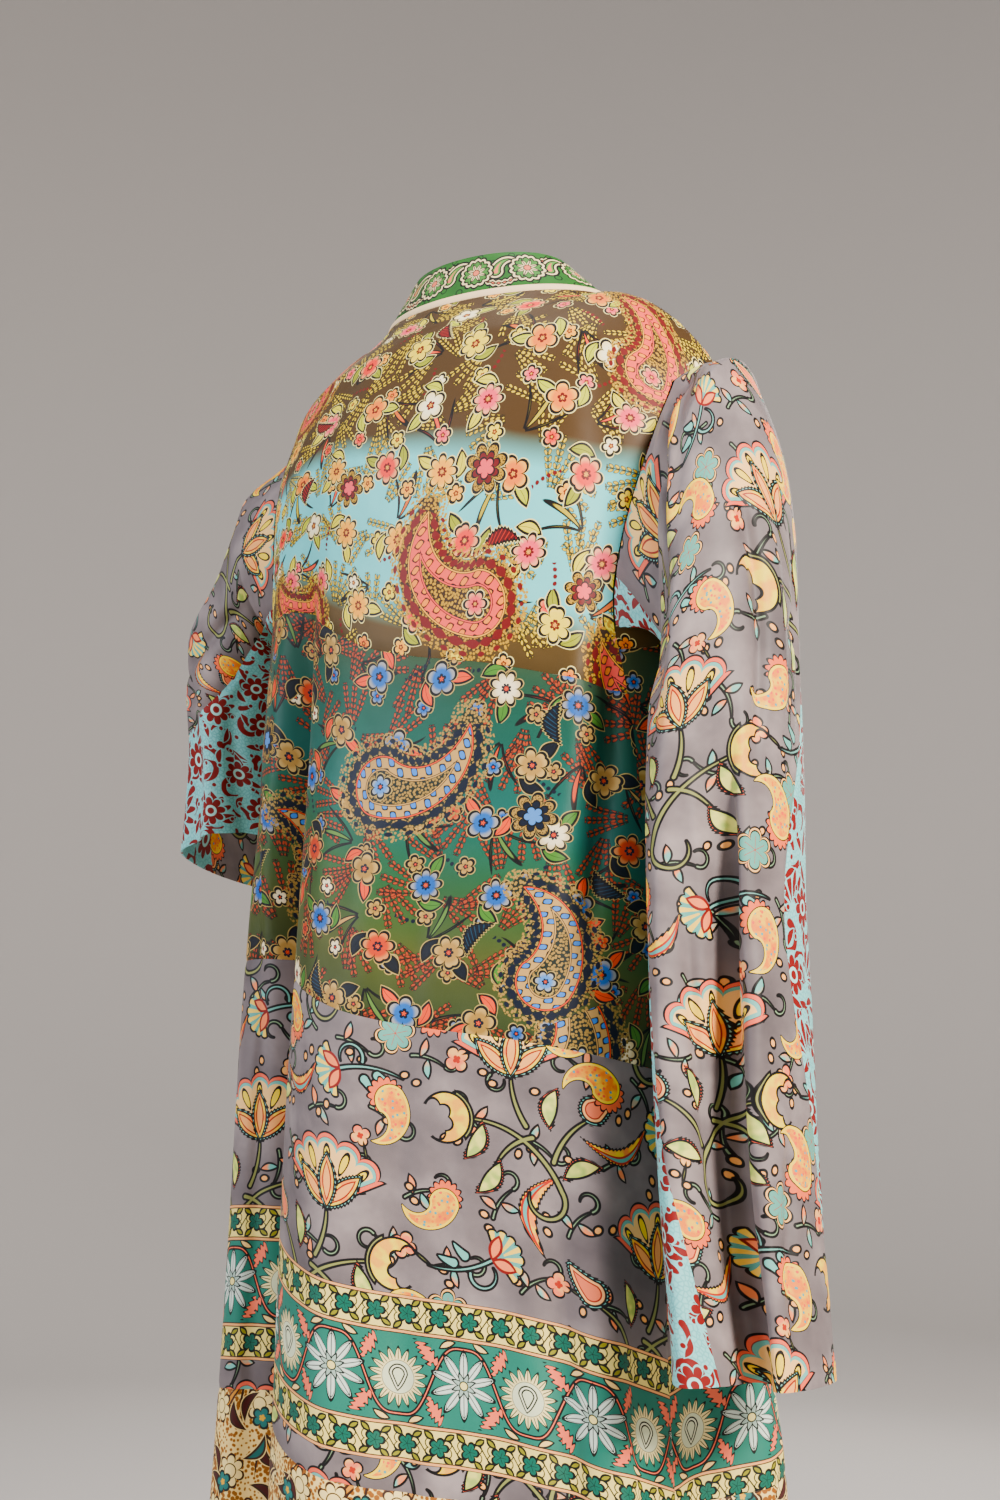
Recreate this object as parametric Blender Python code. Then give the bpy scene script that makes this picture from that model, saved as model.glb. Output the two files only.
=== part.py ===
"""Kimono robe in patchwork prints, holding the hollow form it has when worn.

The origin is the middle of the neck opening at shoulder height. +Z is up, the
wearer faces -Y and the wearer's left is +X. Every piece of cloth is a thin wall
on one of three surfaces: the body, the collar band and a sleeve.
"""

import functools
import math

import bpy
import numpy as np

# Cloth
WALL = 0.0016
SEAM_GAP = 0.0003
EDGE = SEAM_GAP / 2  # what each of two pieces leaves at the seam between them
SIDE_TRIM = 0.0005  # the same at the body's side seams, as a share of a row
SLEEVE_TRIM = 0.0003  # the same between the sleeve's panels, as a share of its girth
SLEEVE_START = 0.006  # share of the sleeve's length that clears the armhole's edge
ROUGHNESS = 0.6

# The body, in metres down the cloth from the back neck
LENGTH = 1.235
UPPER_SEAM = 0.310
MIDDLE_SEAM = 0.583
HEM_SEAM = 0.908
UNDERARM = {1: 0.285, -1: 0.268}  # by side, +1 on the left
RIGHT_FRONT_RISE = 0.028  # the right front is cut and joined this much higher

# Neck and shoulders
NECK_HALF = 0.103
NECK_BACK = 0.060
NECK_FALL = 0.010  # the neck's ends lie this much below the origin
NECK_DIP = 0.008
SHOULDER_HALF = 0.205
SHOULDER_FALL = 0.085
SHOULDER_ROUND = 1.9  # power of the shoulder line's fall
SHOULDER_Y = -0.006
NECK_SHARE = 17 / 35  # of half the back's top edge, and where a column of the back starts
LEVEL_FROM = 0.5 * NECK_SHARE  # outside here the back starts to leave its top edge level
LEVEL_FULL = 1.2 * NECK_SHARE  # and from here on it does so wholly
FRONT_LEVEL = 0.3  # the front's share beside the neck that falls from its top edge
BACK_NECK = 0.08  # share of the whole neck edge that is on one half of the back
YOKE = 0.05  # down to here the cloth turns over the shoulders
BEYOND = 1.7  # a turn's far end takes its slope from this many times its length

# Collar band and its piping
BAND_WIDTH = 0.036
PIPING_WIDTH = 0.007
BAND_START = 0.00095  # clear of the panels' walls, which it leaves at an angle
BAND_LEAN = 0.30  # how far the standing part leans in, as a share of its height
BAND_SIDE_LEAN = 1.1  # the same where it turns over the shoulders
BAND_TURN = 0.14  # over this stretch the band turns from standing up to lying on the chest
BAND_JOIN = 0.001  # half the gap between its runs, as a share of the neck edge
BESIDE_EDGE = 0.95  # share of a front whose way to the edge the lying band goes on in

# How finely the cloth is divided
BACK_COLUMNS = 36
FRONT_COLUMNS = 15
OUTER_COLUMNS = 37
UNDER_COLUMNS = 34
SLEEVE_ROWS = 12
BAND_ROWS = 20
NECK_ROWS = 17
BAND_COLUMNS = 4
ARMHOLE_STEPS = 60
BODY_ROWS = ("down", "rows_above")
BODY_SEAMS = (
    (UPPER_SEAM, 10),
    (MIDDLE_SEAM, 4),
    (HEM_SEAM, 4),
)
HEM_ROWS = 3
NUDGE = 0.003  # steps that surface normals are read over, down and across
ASIDE = 0.008
FINE = 240  # steps along a section before it is cut into equal lengths
CREASE_ANGLE = 40  # degrees

# Plain colours of the cloths
UPPER_COLOUR = (0.18, 0.12, 0.05)
MIDDLE_COLOUR = (0.06, 0.20, 0.17)
GREY = (0.32, 0.28, 0.28)
HEM_COLOUR = (0.70, 0.52, 0.25)
AQUA = (0.38, 0.62, 0.62)
GREEN = (0.12, 0.32, 0.12)
CREAM = (0.80, 0.62, 0.40)

# Level sections of the body. Angles run from the middle of the back (0 degrees)
# to the middle of the front (180), and the edges are the armhole or side seam.
SECTION = (
    "down", "height", "left_half", "right_half", "back_depth", "front_depth",
    "left_back_edge", "left_front_edge", "right_back_edge", "right_front_edge", "front_x",
)
SECTIONS = (
    (0.050, -0.058, 0.199, 0.199, 0.086, 0.070, 72, 106, 72, 106, 0.099),
    (0.130, -0.130, 0.203, 0.200, 0.114, 0.100, 64, 114, 67, 114, 0.090),
    (0.210, -0.207, 0.200, 0.194, 0.123, 0.122, 62, 108, 61, 108, 0.080),
    (0.250, -0.246, 0.198, 0.191, 0.124, 0.130, 67, 92, 60, 76, 0.076),
    (0.268, -0.264, 0.198, 0.190, 0.124, 0.132, 69, 83, 61, 61, 0.074),
    (0.285, -0.281, 0.197, 0.190, 0.124, 0.134, 72, 72, 63, 63, 0.073),
    (0.440, -0.434, 0.199, 0.187, 0.123, 0.142, 82, 82, 76, 76, 0.068),
    (0.583, -0.574, 0.198, 0.187, 0.122, 0.148, 88, 88, 84, 84, 0.066),
    (0.780, -0.764, 0.197, 0.190, 0.122, 0.156, 92, 92, 88, 88, 0.068),
    (0.908, -0.887, 0.198, 0.198, 0.124, 0.160, 92, 92, 90, 90, 0.071),
    (1.235, -1.206, 0.210, 0.214, 0.134, 0.168, 92, 92, 92, 92, 0.080),
)
FRONT_SQUARENESS = 2.25  # power of the sections' front half, 2 being an ellipse

# How much higher the cloth hangs at each place than at the middle of the back
TILT = ("down", "left_side", "left_back", "right_back", "right_side", "right_front_edge", "left_front_edge")
TILTS = (
    (0.050, -0.048, -0.004, -0.004, -0.048, 0.006, 0.006),
    (0.130, -0.020, 0.006, -0.008, -0.022, 0.006, 0.008),
    (0.210, 0.010, 0.022, -0.012, -0.024, 0.006, 0.010),
    (0.310, 0.038, 0.040, -0.018, -0.036, 0.004, 0.014),
    (0.583, 0.022, 0.038, -0.016, -0.034, 0.004, 0.012),
    (0.780, 0.006, 0.036, -0.016, -0.046, 0.008, 0.008),
    (1.235, 0.000, 0.014, -0.008, -0.026, 0.006, 0.004),
)
LEFT_BACK = 0.33  # shares of the back, from its left edge, that these heights are for
BACK_MIDDLE = 0.52
RIGHT_BACK = 0.75

# Folds of the back: place is the share of the way from the left edge to the
# right one, and out is how far the cloth stands off its section.
FOLD = ("place_above", "place_below", "start", "full", "left_width", "right_width", "out")
BACK_FOLDS = (
    (0.315, 0.345, 0.20, 0.62, 0.070, 0.075, -0.074),
    (0.470, 0.500, 0.22, 0.70, 0.150, 0.170, 0.030),
    (0.220, 0.230, 0.25, 0.70, 0.110, 0.080, 0.010),
    (0.690, 0.680, 0.50, 0.90, 0.080, 0.100, -0.010),
    (0.860, 0.850, 0.40, 0.80, 0.070, 0.080, 0.009),
)
LEFT_FRONT_FOLDS = (
    (0.25, 0.22, 0.35, 0.80, 0.14, 0.16, 0.016),
    (0.58, 0.60, 0.30, 0.85, 0.12, 0.10, -0.026),
    (0.80, 0.78, 0.40, 0.90, 0.10, 0.13, 0.012),
)
RIGHT_FRONT_FOLDS = (
    (0.34, 0.34, 0.50, 0.90, 0.30, 0.22, 0.052),
    (0.64, 0.66, 0.30, 0.80, 0.10, 0.12, -0.024),
    (0.84, 0.83, 0.35, 0.90, 0.09, 0.11, 0.010),
)


# Rings of the sleeves, along from the armhole (0) to the cuff (1). x is out from
# the middle of the body, rise is how much higher the outside is than the
# ring's middle, pitch the same for its back, and twist turns the seams outward.
RING = ("along", "x", "y", "z", "across", "deep", "rise", "pitch", "twist")
RIGHT_RINGS = (
    (0.12, 0.220, 0.014, -0.213, 0.020, 0.066, 0.116, 0.000, 0.11),
    (0.24, 0.234, 0.022, -0.258, 0.034, 0.070, 0.093, 0.000, 0.10),
    (0.42, 0.240, 0.030, -0.345, 0.044, 0.073, 0.030, 0.000, 0.05),
    (0.62, 0.247, 0.030, -0.500, 0.046, 0.075, 0.008, 0.000, 0.02),
    (0.82, 0.258, 0.030, -0.660, 0.045, 0.075, 0.000, 0.000, 0.02),
    (1.00, 0.272, 0.028, -0.803, 0.044, 0.074, 0.000, 0.000, 0.02),
)
LEFT_RINGS = (
    (0.14, 0.227, -0.010, -0.188, 0.015, 0.062, 0.074, 0.000, 0.10),
    (0.30, 0.238, -0.017, -0.226, 0.027, 0.071, 0.060, 0.000, 0.13),
    (0.52, 0.262, -0.035, -0.290, 0.042, 0.095, 0.036, 0.000, 0.17),
    (0.75, 0.272, -0.075, -0.365, 0.048, 0.120, 0.010, 0.004, 0.24),
    (1.00, 0.288, -0.105, -0.440, 0.056, 0.135, -0.014, 0.014, 0.28),
)
# Folds of the sleeves: face is 1 on the back and -1 on the front, place runs from
# -1 at the inside to 1 at the outside, and deep is how far the cloth goes in.
SLEEVE_FOLD = (
    "face", "place_above", "place_below", "start", "full", "fade", "gone", "in_width", "out_width", "deep",
)
RIGHT_SLEEVE_FOLDS = (
    (1, 0.38, 0.34, 0.25, 0.95, 2, 3, 0.75, 0.62, 0.056),
    (1, -0.40, -0.50, 0.06, 0.26, 0.34, 0.55, 0.45, 0.45, 0.016),
    (-1, -0.10, 0.00, 0.20, 0.85, 2, 3, 0.52, 0.55, 0.034),
    (-1, 0.65, 0.62, 0.35, 0.90, 2, 3, 0.30, 0.28, 0.010),
)
LEFT_SLEEVE_FOLDS = (
    (1, 0.15, 0.10, 0.30, 0.90, 2, 3, 0.45, 0.50, 0.016),
    (-1, 0.20, 0.10, 0.30, 0.85, 2, 3, 0.50, 0.62, 0.034),
    (-1, -0.55, -0.50, 0.25, 0.80, 2, 3, 0.35, 0.40, 0.015),
)
SLEEVE_LIFT = 0.022  # how much the sleeve leaves the armhole outward, clear of the body
# Where the grey outer panel starts and ends, as shares of the sleeve's girth that
# start at its inside
SEAMS = ("along", "back_seam", "front_seam")
RIGHT_SEAMS = (
    (0.00, 0.070, 0.600),
    (0.12, -0.010, 0.580),
    (0.24, 0.000, 0.580),
    (0.42, 0.030, 0.570),
    (0.62, 0.115, 0.450),
    (0.82, 0.165, 0.555),
    (1.00, 0.235, 0.620),
)
LEFT_SEAMS = (
    (0.00, 0.030, 0.550),
    (0.14, 0.000, 0.540),
    (0.30, 0.000, 0.560),
    (0.52, 0.000, 0.600),
    (0.64, 0.030, 0.620),
    (0.75, 0.100, 0.630),
    (1.00, 0.140, 0.640),
)
# Shares where a panel's columns run straight down beside its folds, by side and
# by whether it is the outer panel
STEADY = {
    (1, True): (0.24, 0.50),
    (1, False): (0.72, 0.88),
    (-1, True): (0.27, 0.39),
    (-1, False): (0.68, 0.86),
}


def blend(start, end, share):
    return start + (end - start) * share


def ease(value, start, end):
    """0 before start, 1 after end, and a smooth step between them."""
    share = np.clip((value - start) / (end - start), 0, 1)
    return share * share * (3 - 2 * share)


def through(knots, values, at):
    """A smooth curve through the values at the knots, read at one place."""
    knots = np.asarray(knots, float)
    values = np.asarray(values, float)
    at = min(max(at, knots[0]), knots[-1])
    i = min(int(np.searchsorted(knots, at, side="right")) - 1, len(knots) - 2)
    steps = np.diff(knots)
    slopes = [(values[k + 1] - values[k]) / steps[k] for k in range(len(steps))]

    def tangent(k):
        if k == 0:
            return slopes[0]
        if k == len(knots) - 1:
            return slopes[-1]
        near, far = steps[k], steps[k - 1]
        return (slopes[k - 1] * near + slopes[k] * far) / (near + far)

    h = steps[i]
    t = (at - knots[i]) / h
    return (
        values[i] * (1 + 2 * t) * (1 - t) ** 2
        + tangent(i) * h * t * (1 - t) ** 2
        + values[i + 1] * t * t * (3 - 2 * t)
        - tangent(i + 1) * h * t * t * (1 - t)
    )


def read(names, rows, down):
    """One row of a table at any height, as a dictionary of its columns."""
    table = np.array(rows, float)
    values = through(table[:, 0], table, down)
    return dict(zip(names, values))


def bump(offset, left_width, right_width):
    width = np.where(offset < 0, left_width, right_width)
    t = np.clip(np.abs(offset) / width, 0, 1)
    return 0.5 * (1 + np.cos(math.pi * t))


def stand_off(folds, share, down):
    """How far the folds carry the cloth off its section, along the section."""
    total = np.zeros_like(share)
    for values in folds:
        fold = dict(zip(FOLD, values))
        place = blend(fold["place_above"], fold["place_below"], down / LENGTH)
        grown = ease(down, fold["start"], fold["full"])
        total += fold["out"] * grown * bump(share - place, fold["left_width"], fold["right_width"])
    return total


def section(sizes, angles, side):
    """Points and outward directions of a level section; side is +1 on the left."""
    half = np.where(side > 0, sizes["left_half"], sizes["right_half"])
    front = angles > 90
    depth = np.where(front, sizes["front_depth"], sizes["back_depth"])
    power = np.where(front, 2 / FRONT_SQUARENESS, 1.0)
    turn = np.radians(angles)
    across = np.sin(turn) ** power
    along = np.sign(np.cos(turn)) * np.abs(np.cos(turn)) ** power
    points = np.stack([side * half * across, depth * along], axis=-1)
    outward = np.stack([side * across / half, along / depth], axis=-1)
    outward /= np.linalg.norm(outward, axis=-1, keepdims=True)
    return points, outward


def cut_evenly(points, shares):
    """Reads a curve at shares of its level length."""
    steps = np.linalg.norm(np.diff(points[:, :2], axis=0), axis=1)
    along = np.concatenate([[0], np.cumsum(steps)])
    along /= along[-1]
    return np.stack([np.interp(shares, along, points[:, k]) for k in range(3)], axis=-1)


def back_section(down, shares):
    sizes = read(SECTION, SECTIONS, down)
    tilt = read(TILT, TILTS, down)
    fine = np.linspace(0, 1, FINE)
    angles = blend(sizes["left_back_edge"], -sizes["right_back_edge"], fine)
    side = np.where(angles >= 0, 1.0, -1.0)
    points, outward = section(sizes, np.abs(angles), side)
    points = points + outward * stand_off(BACK_FOLDS, fine, down)[:, None]
    knots = (0, LEFT_BACK, BACK_MIDDLE, RIGHT_BACK, 1)
    heights = (tilt["left_side"], tilt["left_back"], 0, tilt["right_back"], tilt["right_side"])
    rise = np.array([through(knots, heights, share) for share in fine])
    curve = np.column_stack([points, sizes["height"] + rise])
    return cut_evenly(curve, shares)


def front_section(down, shares, side):
    sizes = read(SECTION, SECTIONS, down)
    tilt = read(TILT, TILTS, down)
    name = "left" if side > 0 else "right"
    folds = LEFT_FRONT_FOLDS if side > 0 else RIGHT_FRONT_FOLDS
    fine = np.linspace(0, 1, FINE)
    front_share = (sizes["front_x"] / sizes[f"{name}_half"]) ** (FRONT_SQUARENESS / 2)
    front_angle = 180 - math.degrees(math.asin(front_share))
    seamed = down >= UNDERARM[side]
    edge = sizes[f"{name}_back_edge"] if seamed else sizes[f"{name}_front_edge"]
    angles = blend(edge, front_angle, fine)
    points, outward = section(sizes, angles, np.full(FINE, side))
    points = points + outward * stand_off(folds, fine, down)[:, None]
    side_rise = tilt[f"{name}_side"]
    rise = blend(side_rise, tilt[f"{name}_front_edge"], fine)
    curve = np.column_stack([points, sizes["height"] + rise])
    return cut_evenly(curve, shares)


def back_top(shares):
    """The shoulder seams and the back neck, from the left armhole to the right."""
    points = []
    for share in shares:
        place = 2 * share - 1
        side = -1 if place > 0 else 1
        if abs(place) < NECK_SHARE:
            turn = 0.5 * math.pi * place / NECK_SHARE
            x = -NECK_HALF * math.sin(turn)
            y = SHOULDER_Y + (NECK_BACK - SHOULDER_Y) * math.cos(turn)
            z = -NECK_FALL - NECK_DIP * math.cos(turn)
        else:
            out = (abs(place) - NECK_SHARE) / (1 - NECK_SHARE)
            x = side * blend(NECK_HALF, SHOULDER_HALF, out)
            y = SHOULDER_Y
            z = -blend(NECK_FALL, SHOULDER_FALL, out**SHOULDER_ROUND)
        points.append((x, y, z))
    return np.array(points)


def front_top(shares, side):
    """The front's shoulder edge, from the armhole to the neck."""
    out = np.clip(1 - np.asarray(shares), 0, 1)
    x = side * blend(NECK_HALF, SHOULDER_HALF, out)
    z = -blend(NECK_FALL, SHOULDER_FALL, out**SHOULDER_ROUND)
    return np.column_stack([x, np.full(len(out), SHOULDER_Y), z])


def over_shoulder(top, level, square, section_at, down):
    """Between the top edge and the yoke the cloth turns over the shoulder.

    level is 1 where the cloth leaves its top edge level, as at a shoulder seam,
    and 0 where it falls from it, as at the neck. square is 1 where it leaves
    straight back or forward, as at the armhole, so that both walls meet there.
    """
    if down >= YOKE:
        return section_at(down)
    below = section_at(YOKE)
    lower = section_at(YOKE * BEYOND)
    leave = below - top
    leave[:, 0] *= 1 - square
    leave[:, 2] *= 1 - level
    arrive = (lower - top) / BEYOND
    t = down / YOKE
    return (
        top * (1 + 2 * t) * (1 - t) ** 2
        + leave * t * (1 - t) ** 2
        + below * t * t * (3 - 2 * t)
        - arrive * t * t * (1 - t)
    )


def back_row(down, shares, aside=0):
    shares = shares + aside
    out = np.abs(2 * np.asarray(shares) - 1)
    level = ease(out, LEVEL_FROM, LEVEL_FULL)
    square = ease(out, NECK_SHARE, 1)
    return over_shoulder(back_top(shares), level, square, lambda at: back_section(at, shares), down)


def front_row(down, shares, side, aside=0):
    shares = shares + aside
    out = 1 - np.asarray(shares)
    level = ease(out, -FRONT_LEVEL, FRONT_LEVEL)
    square = ease(out, 0, 1)
    section_at = lambda at: front_section(at, shares, side)
    return over_shoulder(front_top(shares, side), level, square, section_at, down)


@functools.lru_cache
def armhole(side, count):
    """The armhole's edge from the underarm up the back, over the shoulder and down the front."""
    edge = 0.0 if side > 0 else 1.0
    downs = np.linspace(0, UNDERARM[side], ARMHOLE_STEPS)
    up_back = [back_row(down, np.array([edge]))[0] for down in downs[::-1]]
    down_front = [front_row(down, np.array([0.0]), side)[0] for down in downs[1:]]
    loop = np.array(up_back + down_front)
    steps = np.linalg.norm(np.diff(loop, axis=0), axis=1)
    along = np.concatenate([[0], np.cumsum(steps)]) / steps.sum()
    shares = np.linspace(0, 1, count)
    return np.stack([np.interp(shares, along, loop[:, k]) for k in range(3)], axis=-1)


def ring(sizes, folds, turns, along):
    """One ring of a sleeve; turns run from the inside (0) by the back (0.25) to the outside (0.5)."""
    angle = 2 * math.pi * turns
    out_way = -np.cos(angle)
    back_way = np.sin(angle)
    x = sizes["x"] + sizes["across"] * out_way
    y = sizes["y"] + sizes["deep"] * back_way
    z = sizes["z"] + sizes["rise"] * out_way + sizes["pitch"] * back_way
    for values in folds:
        fold = dict(zip(SLEEVE_FOLD, values))
        place = blend(fold["place_above"], fold["place_below"], along)
        grown = ease(along, fold["start"], fold["full"]) * (1 - ease(along, fold["fade"], fold["gone"]))
        on_face = back_way * fold["face"] > 0
        into = bump(out_way - place, fold["in_width"], fold["out_width"]) * on_face
        y = y - fold["face"] * fold["deep"] * grown * into
    return np.column_stack([x, y, z])


def sleeve_row(along, shares, side):
    """A level row of a sleeve: along is 0 at the armhole and 1 at the cuff."""
    rings = LEFT_RINGS if side > 0 else RIGHT_RINGS
    folds = LEFT_SLEEVE_FOLDS if side > 0 else RIGHT_SLEEVE_FOLDS
    fine = np.linspace(0, 1, FINE + 1)
    first = rings[0][0]
    sizes = read(RING, rings, max(along, first))
    loop = ring(sizes, folds, (fine + sizes["twist"]) % 1, max(along, first))
    loop[:, 0] *= side
    if along < first:
        start = armhole(side, FINE + 1)
        after = read(RING, rings, first * BEYOND)
        lower = ring(after, folds, (fine + after["twist"]) % 1, first * BEYOND)
        lower[:, 0] *= side
        arrive = (lower - start) / BEYOND
        leave = loop - start
        leave[:, 0] += side * SLEEVE_LIFT
        t = along / first
        loop = (
            start * (1 + 2 * t) * (1 - t) ** 2
            + leave * t * (1 - t) ** 2
            + loop * t * t * (3 - 2 * t)
            - arrive * t * t * (1 - t)
        )
    steps = np.linalg.norm(np.diff(loop, axis=0), axis=1)
    place = np.concatenate([[0], np.cumsum(steps)]) / steps.sum()
    wrapped = np.asarray(shares) % 1
    return np.stack([np.interp(wrapped, place, loop[:, k]) for k in range(3)], axis=-1)


def sleeve_panel(along, shares, side, outer, aside=0):
    """A level row of one panel of a sleeve, from its first seam to its second.

    aside moves the points round the sleeve, by a share of its girth.
    """
    seams = read(SEAMS, LEFT_SEAMS if side > 0 else RIGHT_SEAMS, along)
    if outer:
        first, last = seams["back_seam"], seams["front_seam"]
    else:
        first, last = seams["front_seam"], 1 + seams["back_seam"]
    knots = (first + SLEEVE_TRIM, *STEADY[side, outer], last - SLEEVE_TRIM)
    round_shares = np.interp(shares, np.linspace(0, 1, len(knots)), knots)
    return sleeve_row(along, round_shares + aside, side)


def neckline(place):
    """A point of the neck edge and the way the band leaves it.

    place runs from -1 at the left hem by 0 at the back neck to 1 at the right hem;
    within BACK_NECK of 0 it is on the back.
    """
    side = -1 if place > 0 else 1
    if abs(place) < BACK_NECK:
        turn = 0.5 * math.pi * place / BACK_NECK
        y = SHOULDER_Y + (NECK_BACK - SHOULDER_Y) * math.cos(turn)
        z = -NECK_FALL - NECK_DIP * math.cos(turn)
        point = np.array([-NECK_HALF * math.sin(turn), y, z])
        down = 0.0
    else:
        down = LENGTH * (abs(place) - BACK_NECK) / (1 - BACK_NECK)
        point = front_row(down, np.array([1.0]), side)[0]
    inward = -point * np.array([1, 1, 0])
    inward /= np.linalg.norm(inward)
    lean = blend(BAND_LEAN, BAND_SIDE_LEAN, min(abs(place) / BACK_NECK, 1) ** 2)
    upright = inward * lean + np.array([0, 0, 1])
    ends = front_row(max(down, YOKE), np.array([BESIDE_EDGE, 1.0]), side)
    onward = ends[1] - ends[0]
    onward[2] = 0
    onward /= np.linalg.norm(onward)
    way = blend(upright, onward, ease(down, 0, BAND_TURN))
    return point, way / np.linalg.norm(way)


def band_row(place, reaches, aside=0):
    """Points of the collar band at distances from the neck edge."""
    point, way = neckline(place)
    return point + way * (reaches + aside)[:, None]


def surface_normals(row, levels, shares):
    """Unit normals of a surface, so that pieces that meet at a seam turn the same way."""
    down = np.array([row(level + NUDGE, shares) - row(level - NUDGE, shares) for level in levels])
    across = np.array([row(level, shares, aside=ASIDE) - row(level, shares, aside=-ASIDE) for level in levels])
    normals = np.cross(down, across)
    return normals / np.linalg.norm(normals, axis=-1, keepdims=True)


def material(name, colour):
    made = bpy.data.materials.new(name)
    made.use_nodes = True
    shader = made.node_tree.nodes["Principled BSDF"]
    shader.inputs["Base Color"].default_value = (*colour, 1)
    shader.inputs["Roughness"].default_value = ROUGHNESS
    shader.inputs["Metallic"].default_value = 0
    return made


def cloth(name, row, levels, shares, colour):
    """A wall of cloth on a surface given by its rows."""
    rows = np.array([row(level, shares) for level in levels])
    normals = surface_normals(row, levels, shares)
    count, columns = rows.shape[:2]
    outer = rows + normals * WALL / 2
    inner = rows - normals * WALL / 2
    points = np.concatenate([outer.reshape(-1, 3), inner.reshape(-1, 3)])
    size = count * columns
    grid = np.arange(size).reshape(count, columns)
    faces = []
    for i in range(count - 1):
        for j in range(columns - 1):
            a, b, c, d = grid[i, j], grid[i, j + 1], grid[i + 1, j], grid[i + 1, j + 1]
            faces.append((a, c, d, b))
            faces.append((a + size, b + size, d + size, c + size))
    for edge, turned in ((grid[0], False), (grid[-1], True), (grid[:, 0], True), (grid[:, -1], False)):
        for near, far in zip(edge[:-1], edge[1:]):
            halves = [(near, far, far + size), (near, far + size, near + size)]
            faces += [half[::-1] if turned else half for half in halves]
    mesh = bpy.data.meshes.new(name)
    mesh.from_pydata(points.tolist(), [], [[int(corner) for corner in face] for face in faces])
    mesh.materials.append(material(name, colour))
    mesh.shade_smooth()
    mesh.set_sharp_from_angle(angle=math.radians(CREASE_ANGLE))
    piece = bpy.data.objects.new(name, mesh)
    bpy.context.scene.collection.objects.link(piece)


def body_levels():
    """Levels that every panel of the body shares, so that its side seams match."""
    levels = []
    start = 0
    for values in BODY_SEAMS:
        seam = dict(zip(BODY_ROWS, values))
        front_seam = seam["down"] - RIGHT_FRONT_RISE
        levels += [*np.linspace(start, front_seam, seam["rows_above"] + 1)[:-1], front_seam]
        start = seam["down"]
    return np.array(levels + [*np.linspace(start, LENGTH, HEM_ROWS + 1)])


def body_panel(name, top, bottom, colour, row, columns):
    """A panel of the body between two levels, trimmed for its seams."""
    shares = np.linspace(SIDE_TRIM, 1 - SIDE_TRIM, columns)
    between = [down for down in body_levels() if top + RIGHT_FRONT_RISE / 2 < down < bottom - EDGE]
    downs = [top + EDGE, *between, bottom - EDGE]
    cloth(name, row, downs, shares, colour)


def make_body():
    prints = (
        ("upper", 0, UPPER_SEAM, UPPER_COLOUR),
        ("middle", UPPER_SEAM, MIDDLE_SEAM, MIDDLE_COLOUR),
        ("skirt", MIDDLE_SEAM, HEM_SEAM, GREY),
        ("hem", HEM_SEAM, LENGTH, HEM_COLOUR),
    )
    for name, top, bottom, colour in prints:
        body_panel(f"back_{name}", top, bottom, colour, back_row, BACK_COLUMNS)
        for side, word, rise in ((1, "left", 0), (-1, "right", RIGHT_FRONT_RISE)):
            start = max(top - rise, 0)
            end = bottom if bottom == LENGTH else bottom - rise
            row = functools.partial(front_row, side=side)
            body_panel(f"{word}_front_{name}", start, end, colour, row, FRONT_COLUMNS)


def make_sleeves():
    panels = (
        ("outer", True, OUTER_COLUMNS, GREY),
        ("under", False, UNDER_COLUMNS, AQUA),
    )
    alongs = np.linspace(SLEEVE_START, 1, SLEEVE_ROWS)
    for side, word in ((1, "left"), (-1, "right")):
        for name, outer, columns, colour in panels:
            row = functools.partial(sleeve_panel, side=side, outer=outer)
            cloth(f"{word}_sleeve_{name}", row, alongs, np.linspace(0, 1, columns), colour)


def make_band():
    runs = (
        ("left", np.linspace(-1, -BACK_NECK - BAND_JOIN, BAND_ROWS)),
        ("back", np.linspace(-BACK_NECK, BACK_NECK, NECK_ROWS)),
        ("right", np.linspace(BACK_NECK + BAND_JOIN, 1, BAND_ROWS)),
    )
    collar_start = PIPING_WIDTH + SEAM_GAP
    collar_reaches = np.linspace(collar_start, collar_start + BAND_WIDTH, BAND_COLUMNS)
    for word, places in runs:
        cloth(f"piping_{word}", band_row, places, np.array([BAND_START, PIPING_WIDTH]), CREAM)
        cloth(f"collar_{word}", band_row, places, collar_reaches, GREEN)


def main():
    for old in list(bpy.data.objects):
        bpy.data.objects.remove(old, do_unlink=True)
    make_body()
    make_sleeves()
    make_band()


if __name__ == "__main__":
    main()
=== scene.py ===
"""Looks of the kimono robe: its printed cloths, folds, seams, piping and collar band.

Lengths are metres and prints are drawn in millimetres of cloth. The wearer faces
-Y and the wearer's left is +X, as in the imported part.
"""

import ast
import functools
import math

import bpy
import numpy as np
from mathutils import Matrix, Vector


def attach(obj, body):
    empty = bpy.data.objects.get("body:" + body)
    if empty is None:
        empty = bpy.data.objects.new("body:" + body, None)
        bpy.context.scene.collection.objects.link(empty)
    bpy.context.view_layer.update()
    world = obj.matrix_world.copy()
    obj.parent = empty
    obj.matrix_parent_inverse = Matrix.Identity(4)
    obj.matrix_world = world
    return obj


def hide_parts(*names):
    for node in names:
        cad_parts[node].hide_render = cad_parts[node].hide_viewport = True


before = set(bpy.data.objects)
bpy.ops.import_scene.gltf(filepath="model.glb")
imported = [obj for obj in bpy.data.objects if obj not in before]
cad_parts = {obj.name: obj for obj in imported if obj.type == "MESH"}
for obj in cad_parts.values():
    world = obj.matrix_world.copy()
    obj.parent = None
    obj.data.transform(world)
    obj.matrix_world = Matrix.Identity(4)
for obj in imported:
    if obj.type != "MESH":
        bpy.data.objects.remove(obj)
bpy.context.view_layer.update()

MM = 0.001

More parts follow.
